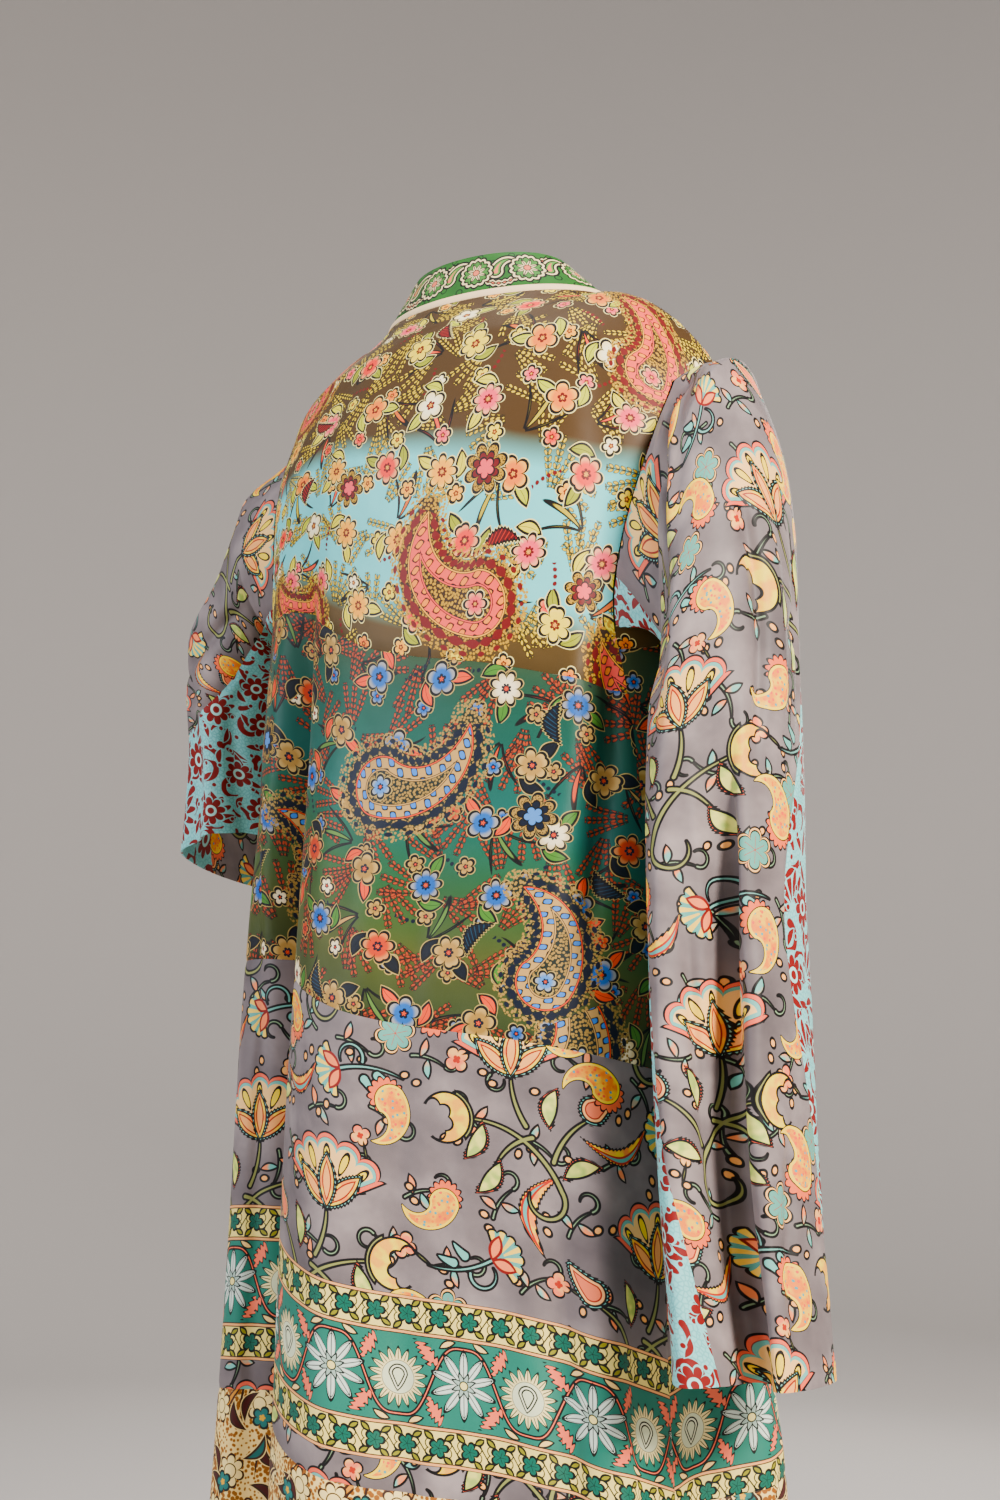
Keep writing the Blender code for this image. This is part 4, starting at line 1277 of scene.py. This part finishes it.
def draw_vine(tree, u, v, on_cloth):
    """Grey mauve, under a watercolour vine in yellow, peach, coral, aqua and olive."""
    tile, line = VINE_TILE, VINE_LINE
    drift = node(tree, "ShaderNodeTexNoise", {"Vector": on_cloth, "Scale": 0.11, "Detail": 1.0})
    wash = value(tree, "ink((drift - 0.5) * 1.8)", drift=drift.outputs[0])
    warm = paint(tree, "f5de7c", "f5b184", wash)
    colour = vine_ground(tree, on_cloth)

    at = scattered(tree, u, v, (54, 48), 19, 0.1)
    stems = branches(tree, at, VINE_CURL, 1.3)
    colour = outlined(tree, colour, stems, "9fb49a", line, weight=0.8)
    fill = paint(tree, "f2b08e", "94c8c0", wash)
    places = ((-3.0, -5.0, -35), (-10.0, 8.0, 125))
    colour = leaves(tree, colour, at, places, (7.0, 2.8, 0.02), fill, line, 0.8)
    at = scattered(tree, u, v, (48, 44), 4)
    pair = formula(tree, """
        beside = abs(x + y * 0.3) - 5
        rim = 2.9 - sqrt(beside * beside + y * y)
    """, at)
    colour = outlined(tree, colour, pair["rim"], "f6c794", line, weight=0.85)

    at = charted(tree, u, v, VINE_GARLANDS, tile)
    shape = leaf(tree, at, 27.0, 5.2, 0.021)
    colour = toothed(tree, colour, shape, 1.0, 1.5, warm)
    strip = value(tree, "min(rim - 0.8, off)", shape)
    colour = outlined(tree, colour, strip, "86c0b8", "c45c50", weight=0.8)

    at = charted(tree, u, v, VINE_BLOSSOMS, tile)
    shape = flower(tree, at, 9.5, 4.0)
    colour = outlined(tree, colour, shape["rim"], paint(tree, "f3a58e", "f7cd9a", wash), line, weight=0.85)
    colour = banded(tree, colour, shape["heart"], ((0, "c45c50"),))
    colour = leaves(tree, colour, at, ((15.0, 2.0, 15),), (8.0, 1.0), "a5a878", line, 0.8)

    colour = draw_carnation(tree, colour, charted(tree, u, v, VINE_CARNATIONS, tile))
    colour = draw_spray(tree, colour, charted(tree, u, v, VINE_SPRAYS, tile), warm, wash)

    at = charted(tree, u, v, VINE_PAISLEYS, tile)
    crown = disc(tree, shifted(tree, at, -6.0, 0.0), 12.5, 14, 3.4)
    colour = outlined(tree, colour, crown["rim"], "f09a80", line, weight=0.85)
    shape = horn(tree, at, 13.5, 20.0, 2.5, 0.85)
    spots = node(tree, "ShaderNodeTexVoronoi", {"Vector": on_cloth, "Scale": 0.26}, voronoi_dimensions="2D")
    speck = value(tree, "ink(0.9 - far * 3.6)", far=spots.outputs["Distance"])
    tone = node(tree, "ShaderNodeSeparateColor", {0: spots.outputs["Color"]}).outputs[0]
    specks = picked(tree, tone, ("f08c80", "7fb4b8", "f2a468"))
    fill = paint(tree, paint(tree, "f7d03c", "f4a24a", wash), specks, speck)
    return banded(tree, colour, shape["rim"], ((-0.4, line), (0.4, "f9e070"), (2.6, fill)))


# Border print
BORDER_MIDDLE = 826  # mm below the back neck
BORDER_HALF = 56
BAND_HALF_WIDTH = 31
MEDALLION_PITCH = 46
SCROLL_PITCH = 22
BORDER_INK = "0e2420"


def draw_yellow_strips(tree, colour, u, down):
    """A dark scroll with olive leaves and teal clusters, alike above and below the band."""
    at = formula(tree, """
        x = (fract(u / pitch) - 0.5) * pitch
        y = abs(down) - 43.5
        vine = 0.45 - abs(y - 5.5 * sin(u * full_turn / pitch)) * 0.6
        ring_x = abs(x) - pitch * 0.25
        ring_y = abs(y) - 3
        curl = 0.35 - abs(sqrt(ring_x * ring_x + ring_y * ring_y) - 3.4)
    """, u=u, down=down, pitch=SCROLL_PITCH)
    for part in ("vine", "curl"):
        colour = banded(tree, colour, at[part], ((0, BORDER_INK),))
    spot = {"x": at["x"], "y": at["y"]}
    places = ((-7.5, 7.5, -30), (7.5, -7.5, -30), (6.5, 8.0, 40), (-6.5, -8.0, 40))
    colour = leaves(tree, colour, spot, places, (3.9, 1.9), "a9a64e", BORDER_INK, 0.7)
    shape = flower(tree, spot, 6.6, 5.0)
    veins = value(tree, "ink(0.3 - abs(sin(atan2(y, x) * 2.5)) * far) * ink(4 - far)", shape)
    fill = paint(tree, "3a8576", BORDER_INK, veins)
    return outlined(tree, colour, shape["rim"], fill, BORDER_INK, weight=0.8)


def draw_medallions(tree, colour, u, down):
    """Cream suns and grey lotuses in turn, with a coral vine that swings round them."""
    at = formula(tree, """
        cell = floor(u / pitch)
        odd = cell - floor(cell / 2) * 2
        x = (u / pitch - cell - 0.5) * pitch
        phase = (u / pitch - 0.5) * half_turn
        swing = cos(phase)
        slope = 2.5 * sin(phase) ** 3
        off = down - 24.5 * swing * (1.5 - 0.5 * swing * swing)
        vine = 1.0 - abs(off) / sqrt(1 + slope * slope)
    """, u=u, down=down, pitch=MEDALLION_PITCH)
    colour = outlined(tree, colour, at["vine"], "f2a08c", BORDER_INK, weight=0.6)
    spot = {"x": at["x"], "y": down}
    flipped = value(tree, "down * (1 - 2 * odd)", down=down, odd=at["odd"])
    over = {"x": at["x"], "y": flipped}
    for x, y, heading in ((25.5, 19.0, 55), (20.5, -19.0, -125), (-20.5, -19.0, -55), (-25.5, 19.0, 125)):
        shape = leaf(tree, shifted(tree, over, x, y, heading), 11.0, 4.0, 0.02)
        jagged = value(tree, "rim + 1.2 * cos(x * 1.5 + off)", shape)
        colour = outlined(tree, colour, jagged, "f2a08c", BORDER_INK, weight=0.6)
    places = ((-12.0, 26.5, 25), (12.0, 26.5, 155))
    colour = leaves(tree, colour, over, places, (6.0, 2.2, 0.02), "f4dca8", BORDER_INK, 0.6)
    sun = pointed(tree, spot, 18, 12.5, 20.5, 1.3)
    rings = value(tree, "ink(0.4 - abs(far - 11)) + ink(0.3 - lane * far * 0.2) * ink(far - 12)", sun)
    fill = paint(tree, "f0e6bc", BORDER_INK, rings)
    sun_colour = outlined(tree, colour, sun["rim"], fill, BORDER_INK, weight=0.8)
    sun_colour = banded(tree, sun_colour, sun["heart"], ((1.4, "dfe4cc"),))
    drop = horn(tree, shifted(tree, spot, 0.0, -2.0, 90), 6.4, 90.0, 0.12, 0.7)
    sun_colour = banded(tree, sun_colour, drop["rim"], (
        (-0.4, BORDER_INK), (0.6, "e9ebd6"), (1.8, BORDER_INK), (2.8, "dfe4cc"),
    ))
    lotus = pointed(tree, spot, 10, 7.0, 23.5, 1.5)
    veins = value(tree, "ink(0.3 - lane * far * 0.35) + ink(0.35 - abs(rim - 2.2))", lotus)
    fill = paint(tree, "dbe4dc", BORDER_INK, veins)
    lotus_colour = outlined(tree, colour, lotus["rim"], fill, BORDER_INK, weight=1.05)
    inner = pointed(tree, spot, 8, 4.0, 9.0)
    lotus_colour = outlined(tree, lotus_colour, inner["rim"], "b9c9c0", BORDER_INK, weight=0.85)
    lotus_colour = banded(tree, lotus_colour, inner["heart"], ((0.6, BORDER_INK), (1.4, "f2e8b0")))
    return paint(tree, sun_colour, lotus_colour, at["odd"])


def draw_skirt(tree, u, v, on_cloth):
    """The vine print, with the woven-look border across it."""
    down = value(tree, "v - middle", v=v, middle=BORDER_MIDDLE)
    yellow = draw_yellow_strips(tree, "efe2a4", u, down)
    teal = draw_medallions(tree, "4e9688", u, down)
    edges = formula(tree, """
        across = abs(down)
        border = ink(outer - across)
        band = ink(inner - across)
        near = min(abs(across - inner), abs(across - outer + 1.2))
        peach = ink(1.5 - near)
        lines = ink(0.35 - abs(near - 1.2))
    """, down=down, outer=BORDER_HALF, inner=BAND_HALF_WIDTH)
    border = paint(tree, yellow, teal, edges["band"])
    border = paint(tree, border, "efc298", edges["peach"])
    border = paint(tree, border, BORDER_INK, edges["lines"])
    return paint(tree, draw_vine(tree, u, v, on_cloth), border, edges["border"])


def draw_hem(tree, u, v, on_cloth):
    """Cream crowded with gold dabs, under red-brown leaves and small teal flowers."""
    line = "5a3a1c"
    dabs = node(tree, "ShaderNodeTexVoronoi", {"Vector": on_cloth, "Scale": 0.3}, voronoi_dimensions="2D")
    patch = node(tree, "ShaderNodeTexNoise", {"Vector": on_cloth, "Scale": 0.03, "Detail": 2.0}).outputs[0]
    dab = value(tree, "ink(patch * 3 - 0.55 - far * 2.4)", far=dabs.outputs["Distance"], patch=patch)
    colour = paint(tree, "f2deaa", "ac7a26", dab)
    shape = grass(tree, scattered(tree, u, v, (46, 40), 2), 30.0, 9.0)
    colour = outlined(tree, colour, shape["rim"], "d9a545", line, weight=0.85)
    shape = flower(tree, scattered(tree, u, v, (42, 38), 6), 11.5, 7.0)
    rings = value(tree, "ink(0.4 - abs(far - 5))", shape)
    colour = outlined(tree, colour, shape["rim"], paint(tree, "f6e6b4", line, rings), line, weight=0.85)
    brown = "6b241c"
    for seed, pitch, fill in ((9, (38, 34), brown), (14, (66, 58), "3f8480"), (22, (44, 40), brown)):
        shape = leaf(tree, scattered(tree, u, v, pitch, seed), 10.5, 2.8, 0.04)
        colour = outlined(tree, colour, shape["rim"], fill, line, "f0deb0", weight=0.8)
    shape = flower(tree, scattered(tree, u, v, (54, 48), 17), 7.5, 5.0)
    colour = outlined(tree, colour, shape["rim"], "4f928e", "24403e", weight=0.85)
    return banded(tree, colour, shape["heart"], ((0, "e8c050"),))


def draw_sleeve_under(tree, u, v, on_cloth):
    """Pale aqua with a fine crackle, printed in one dark red."""
    red, aqua = "9c1712", "a6dada"
    edges = {"voronoi_dimensions": "2D", "feature": "DISTANCE_TO_EDGE"}
    cracks = node(tree, "ShaderNodeTexVoronoi", {"Vector": on_cloth, "Scale": 0.3}, **edges)
    crack = value(tree, "ink(0.06 - far) * 0.5", far=cracks.outputs["Distance"])
    colour = paint(tree, aqua, "4f9aa0", crack)
    at = scattered(tree, u, v, (34, 31), 12, 0.1)
    curl = horn(tree, at, 3.0, 8.5, 4.6, 0.4)
    tail = horn(tree, shifted(tree, at, -3.0, -9.0, 150), 2.4, 14.0, 1.2, 0.5)
    for shape in (curl, tail):
        colour = banded(tree, colour, shape["rim"], ((0, red),))
    at = scattered(tree, u, v, (50, 46), 3, 0.1)
    frond = fan(tree, shifted(tree, at, -11.0, 0.0), 25.0, 15, 1.0)
    strokes = formula(tree, """
        middle = (far - 14.5) / 8.5
        strokes = min(rim, (lane + 0.75 - 1.2 * middle * middle) * 1.7)
    """, frond)["strokes"]
    colour = banded(tree, colour, frond["rim"], ((-1.2, aqua),))
    colour = banded(tree, colour, strokes, ((0, red),))
    shape = leaf(tree, scattered(tree, u, v, (22, 20), 7, 0.2), 7.0, 2.4, 0.03)
    colour = banded(tree, colour, shape["rim"], ((-0.9, aqua), (0, red)))
    shape = disc(tree, scattered(tree, u, v, (17, 16), 15), 1.7)
    colour = banded(tree, colour, shape["rim"], ((-0.8, aqua), (0, red)))
    shape = flower(tree, scattered(tree, u, v, (48, 44), 5), 12.5, 8.0)
    ring = value(tree, "1.1 - abs(far - 4)", shape)
    colour = banded(tree, colour, shape["rim"], ((-1.6, aqua), (0, red)))
    return banded(tree, colour, ring, ((0, "bfe6e2"),))


# Collar print
COLLAR_MIDDLE = 18  # mm from the band's inner edge
COLLAR_PITCH = 42  # mm from one medallion to the next


def draw_collar(tree, u, v, on_cloth):
    """Green with cream scalloped medallions, hooked leaves and black pen lines."""
    line, cream = "141a12", "efe3c0"
    tone = node(tree, "ShaderNodeTexNoise", {"Vector": on_cloth, "Scale": 0.05, "Detail": 1.0}).outputs[0]
    colour = paint(tree, "47784a", "5f9656", tone)
    at = scattered(tree, u, v, (13, 15), 8)
    ring = value(tree, "0.35 - abs(sqrt(x * x + y * y) - 2.6)", at)
    colour = banded(tree, colour, ring, ((0, line),))
    wave = formula(tree, """
        bow = 16 + 12 * cos(v * 0.0748)
        off = abs(u - bow)
        wave = 2.6 + 0.5 * cos(v * 1.4) - off * 0.8
    """, u=u, v=v)["wave"]
    colour = banded(tree, colour, wave, ((-0.8, line), (0.6, cream), (1.6, line), (2.6, "e8a08c")))
    middle, between = (
        formula(tree, """
            x = u - middle
            y = (fract(v / pitch + start) - 0.5) * pitch
        """, u=u, v=v, middle=COLLAR_MIDDLE, pitch=COLLAR_PITCH, start=start)
        for start in (0, 0.5)
    )
    shape = horn(tree, shifted(tree, between, -2.0, -4.0, 0.5), 6.5, 12.0, 2.2, 0.6)
    bands = ((-1.0, line), (0.6, cream), (2.2, line), (3.4, "7fae6c"), (4.8, "e8a08c"))
    colour = banded(tree, colour, shape["rim"], bands)
    shape = disc(tree, middle, 13.0, 14, 1.8)
    colour = banded(tree, colour, shape["rim"], ((-1.2, line), (0.5, cream), (2.4, line), (3.9, "6f9e62")))
    petal = pointed(tree, middle, 8, 3.5, 9.6)
    veins = value(tree, "ink(0.35 - lane * far * 0.35)", petal)
    colour = banded(tree, colour, petal["rim"], ((-0.9, line), (0.5, paint(tree, cream, line, veins))))
    return banded(tree, colour, petal["heart"], ((0.3, line), (1.0, "e8a08c")))


def plain(colour):
    """A cloth without a print."""
    return lambda tree, u, v, on_cloth: colour


def make_cloths():
    """One material for each print and a plain satin one; what each looks like is said at its print."""
    return {
        "upper": cloth_material("brown and aqua print viscose", draw_upper),
        "middle": cloth_material("teal paisley print viscose", draw_middle),
        "skirt": cloth_material("grey vine print viscose with border", draw_skirt),
        "hem": cloth_material("gold dotted print viscose", draw_hem),
        "sleeve_under": cloth_material("aqua and red print viscose", draw_sleeve_under),
        "collar": cloth_material("green medallion print viscose", draw_collar),
        "piping": cloth_material("cream satin", plain("f0d0a0")),
    }


# Cloth
CLOTH = 0.0007  # thickness of the viscose
CELL = 0.005  # the cloth's mesh is about this fine
FINE_CELL = 0.003  # on the sleeves
SLIT_CELL = 0.0018  # down the head of a sleeve, where a sharp fold crosses
SLIT_END = 0.18  # share of a sleeve, from its head, that is cut this finely
SEAM_GAP = 0.0001
SLEEVE_START = 0.003  # share of the sleeve that clears the armhole
SEAM_DIP = 0.0009  # a pressed seam lies this much lower than the cloth beside it
SEAM_SPREAD = 3.0  # mm
SEAM_CALM = 16.0  # mm beside a long seam over which the creases fade
HEM_DEPTH = 12.0  # mm that a hem is turned up
HEM_EXTRA = 0.0005  # what the turned-up layers add to each face
HEM_SOFT = 2.0  # mm over which the layers end
SHARP = 60  # degrees from which an edge of the cloth looks sharp
WIDTH_SAMPLES = 20  # places across a panel that its width is measured from

CREASE_GROWN = 0.3  # share of its length over which a crease starts
CREASE_ENDS = 0.6  # share of its length from which it ends

# Creases, as soft troughs (below 0) and ridges on the cloth's own millimetres. steep is a
# crease's width on its steep side as a share of that on the other; the steep side is on the
# left as one goes from its start.
CREASE = ("from_u", "from_v", "to_u", "to_v", "width", "steep", "height")


def unit(vectors):
    return vectors / np.linalg.norm(vectors, axis=-1, keepdims=True)


def facings(rows):
    """The directions that a grid of points faces."""
    return unit(np.cross(np.gradient(rows, axis=0), np.gradient(rows, axis=1)))


def arcs(points, axis):
    """Lengths along a grid's rows or columns, in mm."""
    steps = np.linalg.norm(np.diff(points, axis=axis), axis=-1)
    start = np.zeros_like(np.take(steps, [0], axis=axis))
    return np.concatenate([start, np.cumsum(steps, axis=axis)], axis=axis) / MM


def creased(u, v, creases):
    """Height of the creases: each runs between two places and fades at its ends."""
    height = np.zeros_like(u)
    for values in creases:
        crease = dict(zip(CREASE, values))
        start = np.array([crease["from_u"], crease["from_v"]])
        way = np.array([crease["to_u"], crease["to_v"]]) - start
        length = np.linalg.norm(way)
        way = way / length
        along = ((u - start[0]) * way[0] + (v - start[1]) * way[1]) / length
        aside = (u - start[0]) * way[1] - (v - start[1]) * way[0]
        fade = ease(along, 0, CREASE_GROWN) * (1 - ease(along, CREASE_ENDS, 1))
        spread = crease["width"] * np.where(aside > 0, crease["steep"], 1)
        height += crease["height"] * fade * np.exp(-((aside / spread) ** 2))
    return height * MM


def sheet(name, row, levels, shares, facing, middle, start_v, creases, seams, hems, material):
    """A thin closed shell of cloth on the form, with its print's millimetres as UV map.

    levels and shares cut the form into a grid; facing is 1 where the grid's own normals point out.
    The print's u starts at the share middle of each row, and seams and hems name the grid's sides
    that have one.
    """
    rows = np.array([row(level, shares) for level in levels])
    across = arcs(rows, 1)
    down = arcs(rows, 0)
    width = across[:, -1:]
    u = across - middle * width
    v = np.broadcast_to(start_v + down.mean(axis=1, keepdims=True), u.shape)
    normals = facings(rows)
    to_edge = {"top": down, "bottom": down[-1:] - down, "first": across, "last": width - across}
    lift = creased(u, v, creases) * ease(np.minimum(across, width - across), 0, SEAM_CALM)
    for side in seams:
        lift = lift - SEAM_DIP * np.exp(-((to_edge[side] / SEAM_SPREAD) ** 2))
    rows = rows + normals * (facing * lift)[..., None]
    half = np.full(u.shape, CLOTH / 2)
    for side in hems:
        turned = 1 - ease(to_edge[side], HEM_DEPTH - HEM_SOFT, HEM_DEPTH)
        half = half + HEM_EXTRA * turned
    piece = shell(name, rows, half, u, v, material)


def shell(name, rows, half, u, v, material):
    """Two faces of cloth round a grid of points, joined at their edges; half is half their distance."""
    normals = facings(rows)
    outer = rows + normals * half[..., None]
    inner = rows - normals * half[..., None]
    size = u.size
    grid = np.arange(size).reshape(u.shape)
    a, b, c, d = grid[:-1, :-1], grid[:-1, 1:], grid[1:, :-1], grid[1:, 1:]
    out_faces = np.stack([a, c, d, b], axis=-1).reshape(-1, 4)
    in_faces = np.stack([a, b, d, c], axis=-1).reshape(-1, 4) + size
    rims = []
    for edge in (grid[0], grid[-1, ::-1], grid[::-1, 0], grid[:, -1]):
        rims.append(np.stack([edge[:-1], edge[1:], edge[1:] + size, edge[:-1] + size], axis=-1))
    faces = np.concatenate([out_faces, in_faces, *rims])
    mesh = bpy.data.meshes.new(name)
    points = np.concatenate([outer.reshape(-1, 3), inner.reshape(-1, 3)])
    mesh.from_pydata(points.tolist(), [], faces.tolist())
    layer = mesh.uv_layers.new(name="cloth")
    corners = np.stack([u.ravel(), v.ravel()], axis=-1)[faces.ravel() % size]
    layer.data.foreach_set("uv", corners.astype(np.float32).ravel())
    mesh.materials.append(material)
    mesh.shade_smooth()
    mesh.set_sharp_from_angle(angle=math.radians(SHARP))
    piece = add_object(f"cloth_{name}", mesh)
    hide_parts(name)
    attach(piece, "root")
    return piece


# Places across are from the centre back, from the side seam on a front, and from the
# panel's first seam on a sleeve
BACK_CREASES = (
    (192, 150, 236, 600, 13, 0.6, -10.2),
    (168, 200, 205, 560, 12, 0.8, 3.8),
    (148, 70, 190, 260, 14, 1, -3.4),
    (60, 130, 88, 330, 20, 1, -2.7),
    (20, 300, 46, 640, 16, 1, -3.7),
    (100, 420, 118, 820, 20, 0.6, -4.8),
    (150, 500, 186, 1225, 22, 0.8, 4.8),
    (118, 720, 122, 1230, 17, 0.6, -7.1),
    (60, 640, 70, 1200, 18, 0.8, 3.9),
    (222, 640, 262, 1235, 17, 0.6, -7.8),
    (252, 560, 300, 1200, 14, 0.8, 4.5),
    (-196, 300, -180, 1140, 13, 0.6, -6.8),
    (-150, 560, -150, 1235, 13, 0.8, 4.5),
    (-104, 420, -118, 1160, 12, 0.6, -6.1),
    (-70, 60, -110, 300, 16, 1, -3.1),
)
LEFT_FRONT_CREASES = (
    (34, 260, 40, 900, 13, 0.6, -6.8),
    (84, 120, 96, 620, 15, 0.6, -4.4),
    (78, 560, 70, 1235, 15, 0.8, 5.1),
    (128, 420, 122, 1190, 14, 0.6, -6.5),
    (176, 640, 180, 1235, 13, 0.8, 4.2),
)
RIGHT_FRONT_CREASES = (
    (40, 330, 30, 980, 14, 0.6, -6.5),
    (92, 150, 84, 700, 14, 1, -4.1),
    (74, 640, 88, 1235, 14, 0.8, 4.8),
    (134, 360, 140, 1120, 13, 0.6, -5.8),
    (184, 720, 176, 1235, 12, 0.8, 3.9),
)
LEFT_OUTER_CREASES = (
    (22, 50, 60, 260, 9, 0.6, -5.8),
    (66, 90, 96, 390, 11, 0.8, 4.2),
    (112, 40, 104, 360, 10, 0.6, -5.4),
    (160, 110, 128, 410, 10, 0.8, 3.9),
    (196, 60, 168, 330, 9, 0.6, -4.8),
)
LEFT_UNDER_CREASES = (
    (176, 100, 150, 360, 9, 0.6, -5.1),
    (128, 60, 118, 390, 10, 1, 3.6),
    (70, 90, 76, 370, 9, 0.6, -4.8),
    (30, 150, 36, 400, 8, 1, 3.3),
)
RIGHT_OUTER_CREASES = (
    (143, 3, 60, 94, 6, 0.6, -19.0),
    (172, 4, 76, 108, 8, 1, 4.5),
    (192, 16, 2, 50, 13, 0.2, -8.0),
    (150, 6, 40, 26, 6, 1, 3.0),
    (172, 110, 104, 330, 8, 0.6, -6.1),
    (186, 120, 126, 330, 8, 1, 3.3),
    (104, 240, 8, 860, 15, 0.3, -17.0),
    (66, 250, 54, 640, 9, 0.8, 4.2),
    (222, 130, 126, 470, 8, 0.6, -4.4),
    (50, 380, 30, 660, 7, 0.6, -5.1),
    (104, 400, 66, 700, 9, 0.8, 3.9),
    (226, 180, 160, 232, 7, 1, -3.7),
    (206, 270, 140, 320, 8, 1, -3.4),
    (130, 520, 84, 712, 8, 0.6, -5.1),
)
RIGHT_UNDER_CREASES = (
    (40, 60, 60, 420, 9, 0.6, -5.4),
    (88, 120, 96, 560, 9, 0.8, 3.9),
    (128, 80, 132, 620, 8, 0.6, -5.1),
    (30, 380, 44, 660, 8, 1, 3.3),
)


# The robe's panels
BANDS = (
    ("upper", 0, UPPER_SEAM),
    ("middle", UPPER_SEAM, MIDDLE_SEAM),
    ("skirt", MIDDLE_SEAM, HEM_SEAM),
    ("hem", HEM_SEAM, LENGTH),
)


def evenly(start, end, length, cell=CELL):
    """Values from start to end so that cells come out near that size on cloth of that length."""
    return np.linspace(start, end, max(round(length / cell), 2) + 1)


def make_body(cloths):
    """The back and both fronts, each in four bands."""
    for name, top, bottom in BANDS:
        for word, side, rise in (("back", 0, 0), ("left_front", 1, 0), ("right_front", -1, RIGHT_FRONT_RISE)):
            start = max(top - rise, 0) + SEAM_GAP
            end = (bottom if bottom == LENGTH else bottom - rise) - SEAM_GAP
            levels = evenly(start, end, end - start)
            row = functools.partial(front_row, side=side) if side else back_row
            halfway = row(0.5 * (start + end), np.linspace(0, 1, WIDTH_SAMPLES))
            width = float(arcs(halfway, 0)[-1]) * MM
            shares = evenly(SEAM_GAP, 1 - SEAM_GAP, width)
            facing = -1 if side > 0 else 1
            seams = ["first", "last"]
            seams += ["top"] if top else []
            seams += [] if bottom == LENGTH else ["bottom"]
            hems = ["bottom"] if bottom == LENGTH else []
            creases = {0: BACK_CREASES, 1: LEFT_FRONT_CREASES, -1: RIGHT_FRONT_CREASES}[side]
            sheet(
                f"{word}_{name}", row, levels, shares, facing, 0 if side else 0.5, start / MM, creases,
                seams, hems, cloths[name],
            )


def make_sleeves(cloths):
    """Both sleeves, each of an outer and an under panel."""
    panels = (
        # word, side, outer, length and width in metres, creases
        ("left", 1, True, 0.42, 0.33, LEFT_OUTER_CREASES),
        ("left", 1, False, 0.42, 0.33, LEFT_UNDER_CREASES),
        ("right", -1, True, 0.72, 0.29, RIGHT_OUTER_CREASES),
        ("right", -1, False, 0.72, 0.29, RIGHT_UNDER_CREASES),
    )
    for word, side, outer, length, width, creases in panels:
        row = functools.partial(sleeve_panel, side=side, outer=outer)
        head = evenly(SLEEVE_START, SLIT_END, SLIT_END * length, SLIT_CELL)
        levels = np.append(head[:-1], evenly(SLIT_END, 1, (1 - SLIT_END) * length, FINE_CELL))
        shares = evenly(0, 1, width, FINE_CELL)
        kind = "outer" if outer else "under"
        # The outer panels are cut from the same grey print as the skirt, above its border
        cloth = cloths["skirt" if outer else "sleeve_under"]
        sheet(
            f"{word}_sleeve_{kind}", row, levels, shares, -side, 0, 0, creases, ["first", "last"], ["bottom"],
            cloth,
        )


# Piping and collar band
PIPING_ROUND = 0.0012  # half the piping's height where it is fullest
PIPING_SPAN = 0.94  # share of a whole round that its section takes up
BAND_HALF = 0.0008  # half the folded band's thickness
BAND_EDGE = 0.55  # its share at the folded edges
BAND_SQUARENESS = 8
BAND_POINTS = 9  # across each


def make_band(cloths):
    """The piping as a flattened roll and the collar as a folded band, in three runs."""
    runs = (
        ("left", -1, -BACK_NECK - BAND_JOIN),
        ("back", -BACK_NECK, BACK_NECK),
        ("right", BACK_NECK + BAND_JOIN, 1),
    )
    bands = (
        # kind, from and to in metres off the neck edge
        ("piping", BAND_START / 2, PIPING_WIDTH),
        ("collar", PIPING_WIDTH, PIPING_WIDTH + BAND_WIDTH),
    )
    for word, first, last in runs:
        places = evenly(first, last, (last - first) * LENGTH)
        for kind, start, end in bands:
            reaches = np.linspace(start, end, BAND_POINTS)
            rows = np.array([band_row(place, reaches) for place in places])
            along = arcs(rows, 0).mean(axis=1, keepdims=True)
            v = np.broadcast_to(along - (along[-1] / 2 if word == "back" else 0), rows.shape[:2])
            u = arcs(rows, 1)
            share = np.linspace(-1, 1, BAND_POINTS)[None, :]
            if kind == "piping":
                half = PIPING_ROUND * np.sqrt(1 - (PIPING_SPAN * share) ** 2)
            else:
                half = BAND_HALF * blend(1, BAND_EDGE, share**BAND_SQUARENESS)
            half = np.broadcast_to(half, rows.shape[:2])
            piece = shell(f"{kind}_{word}", rows, half, u, v, cloths[kind])


make_camera()
make_stage()
make_lights()
cloths = make_cloths()
make_body(cloths)
make_sleeves(cloths)
make_band(cloths)
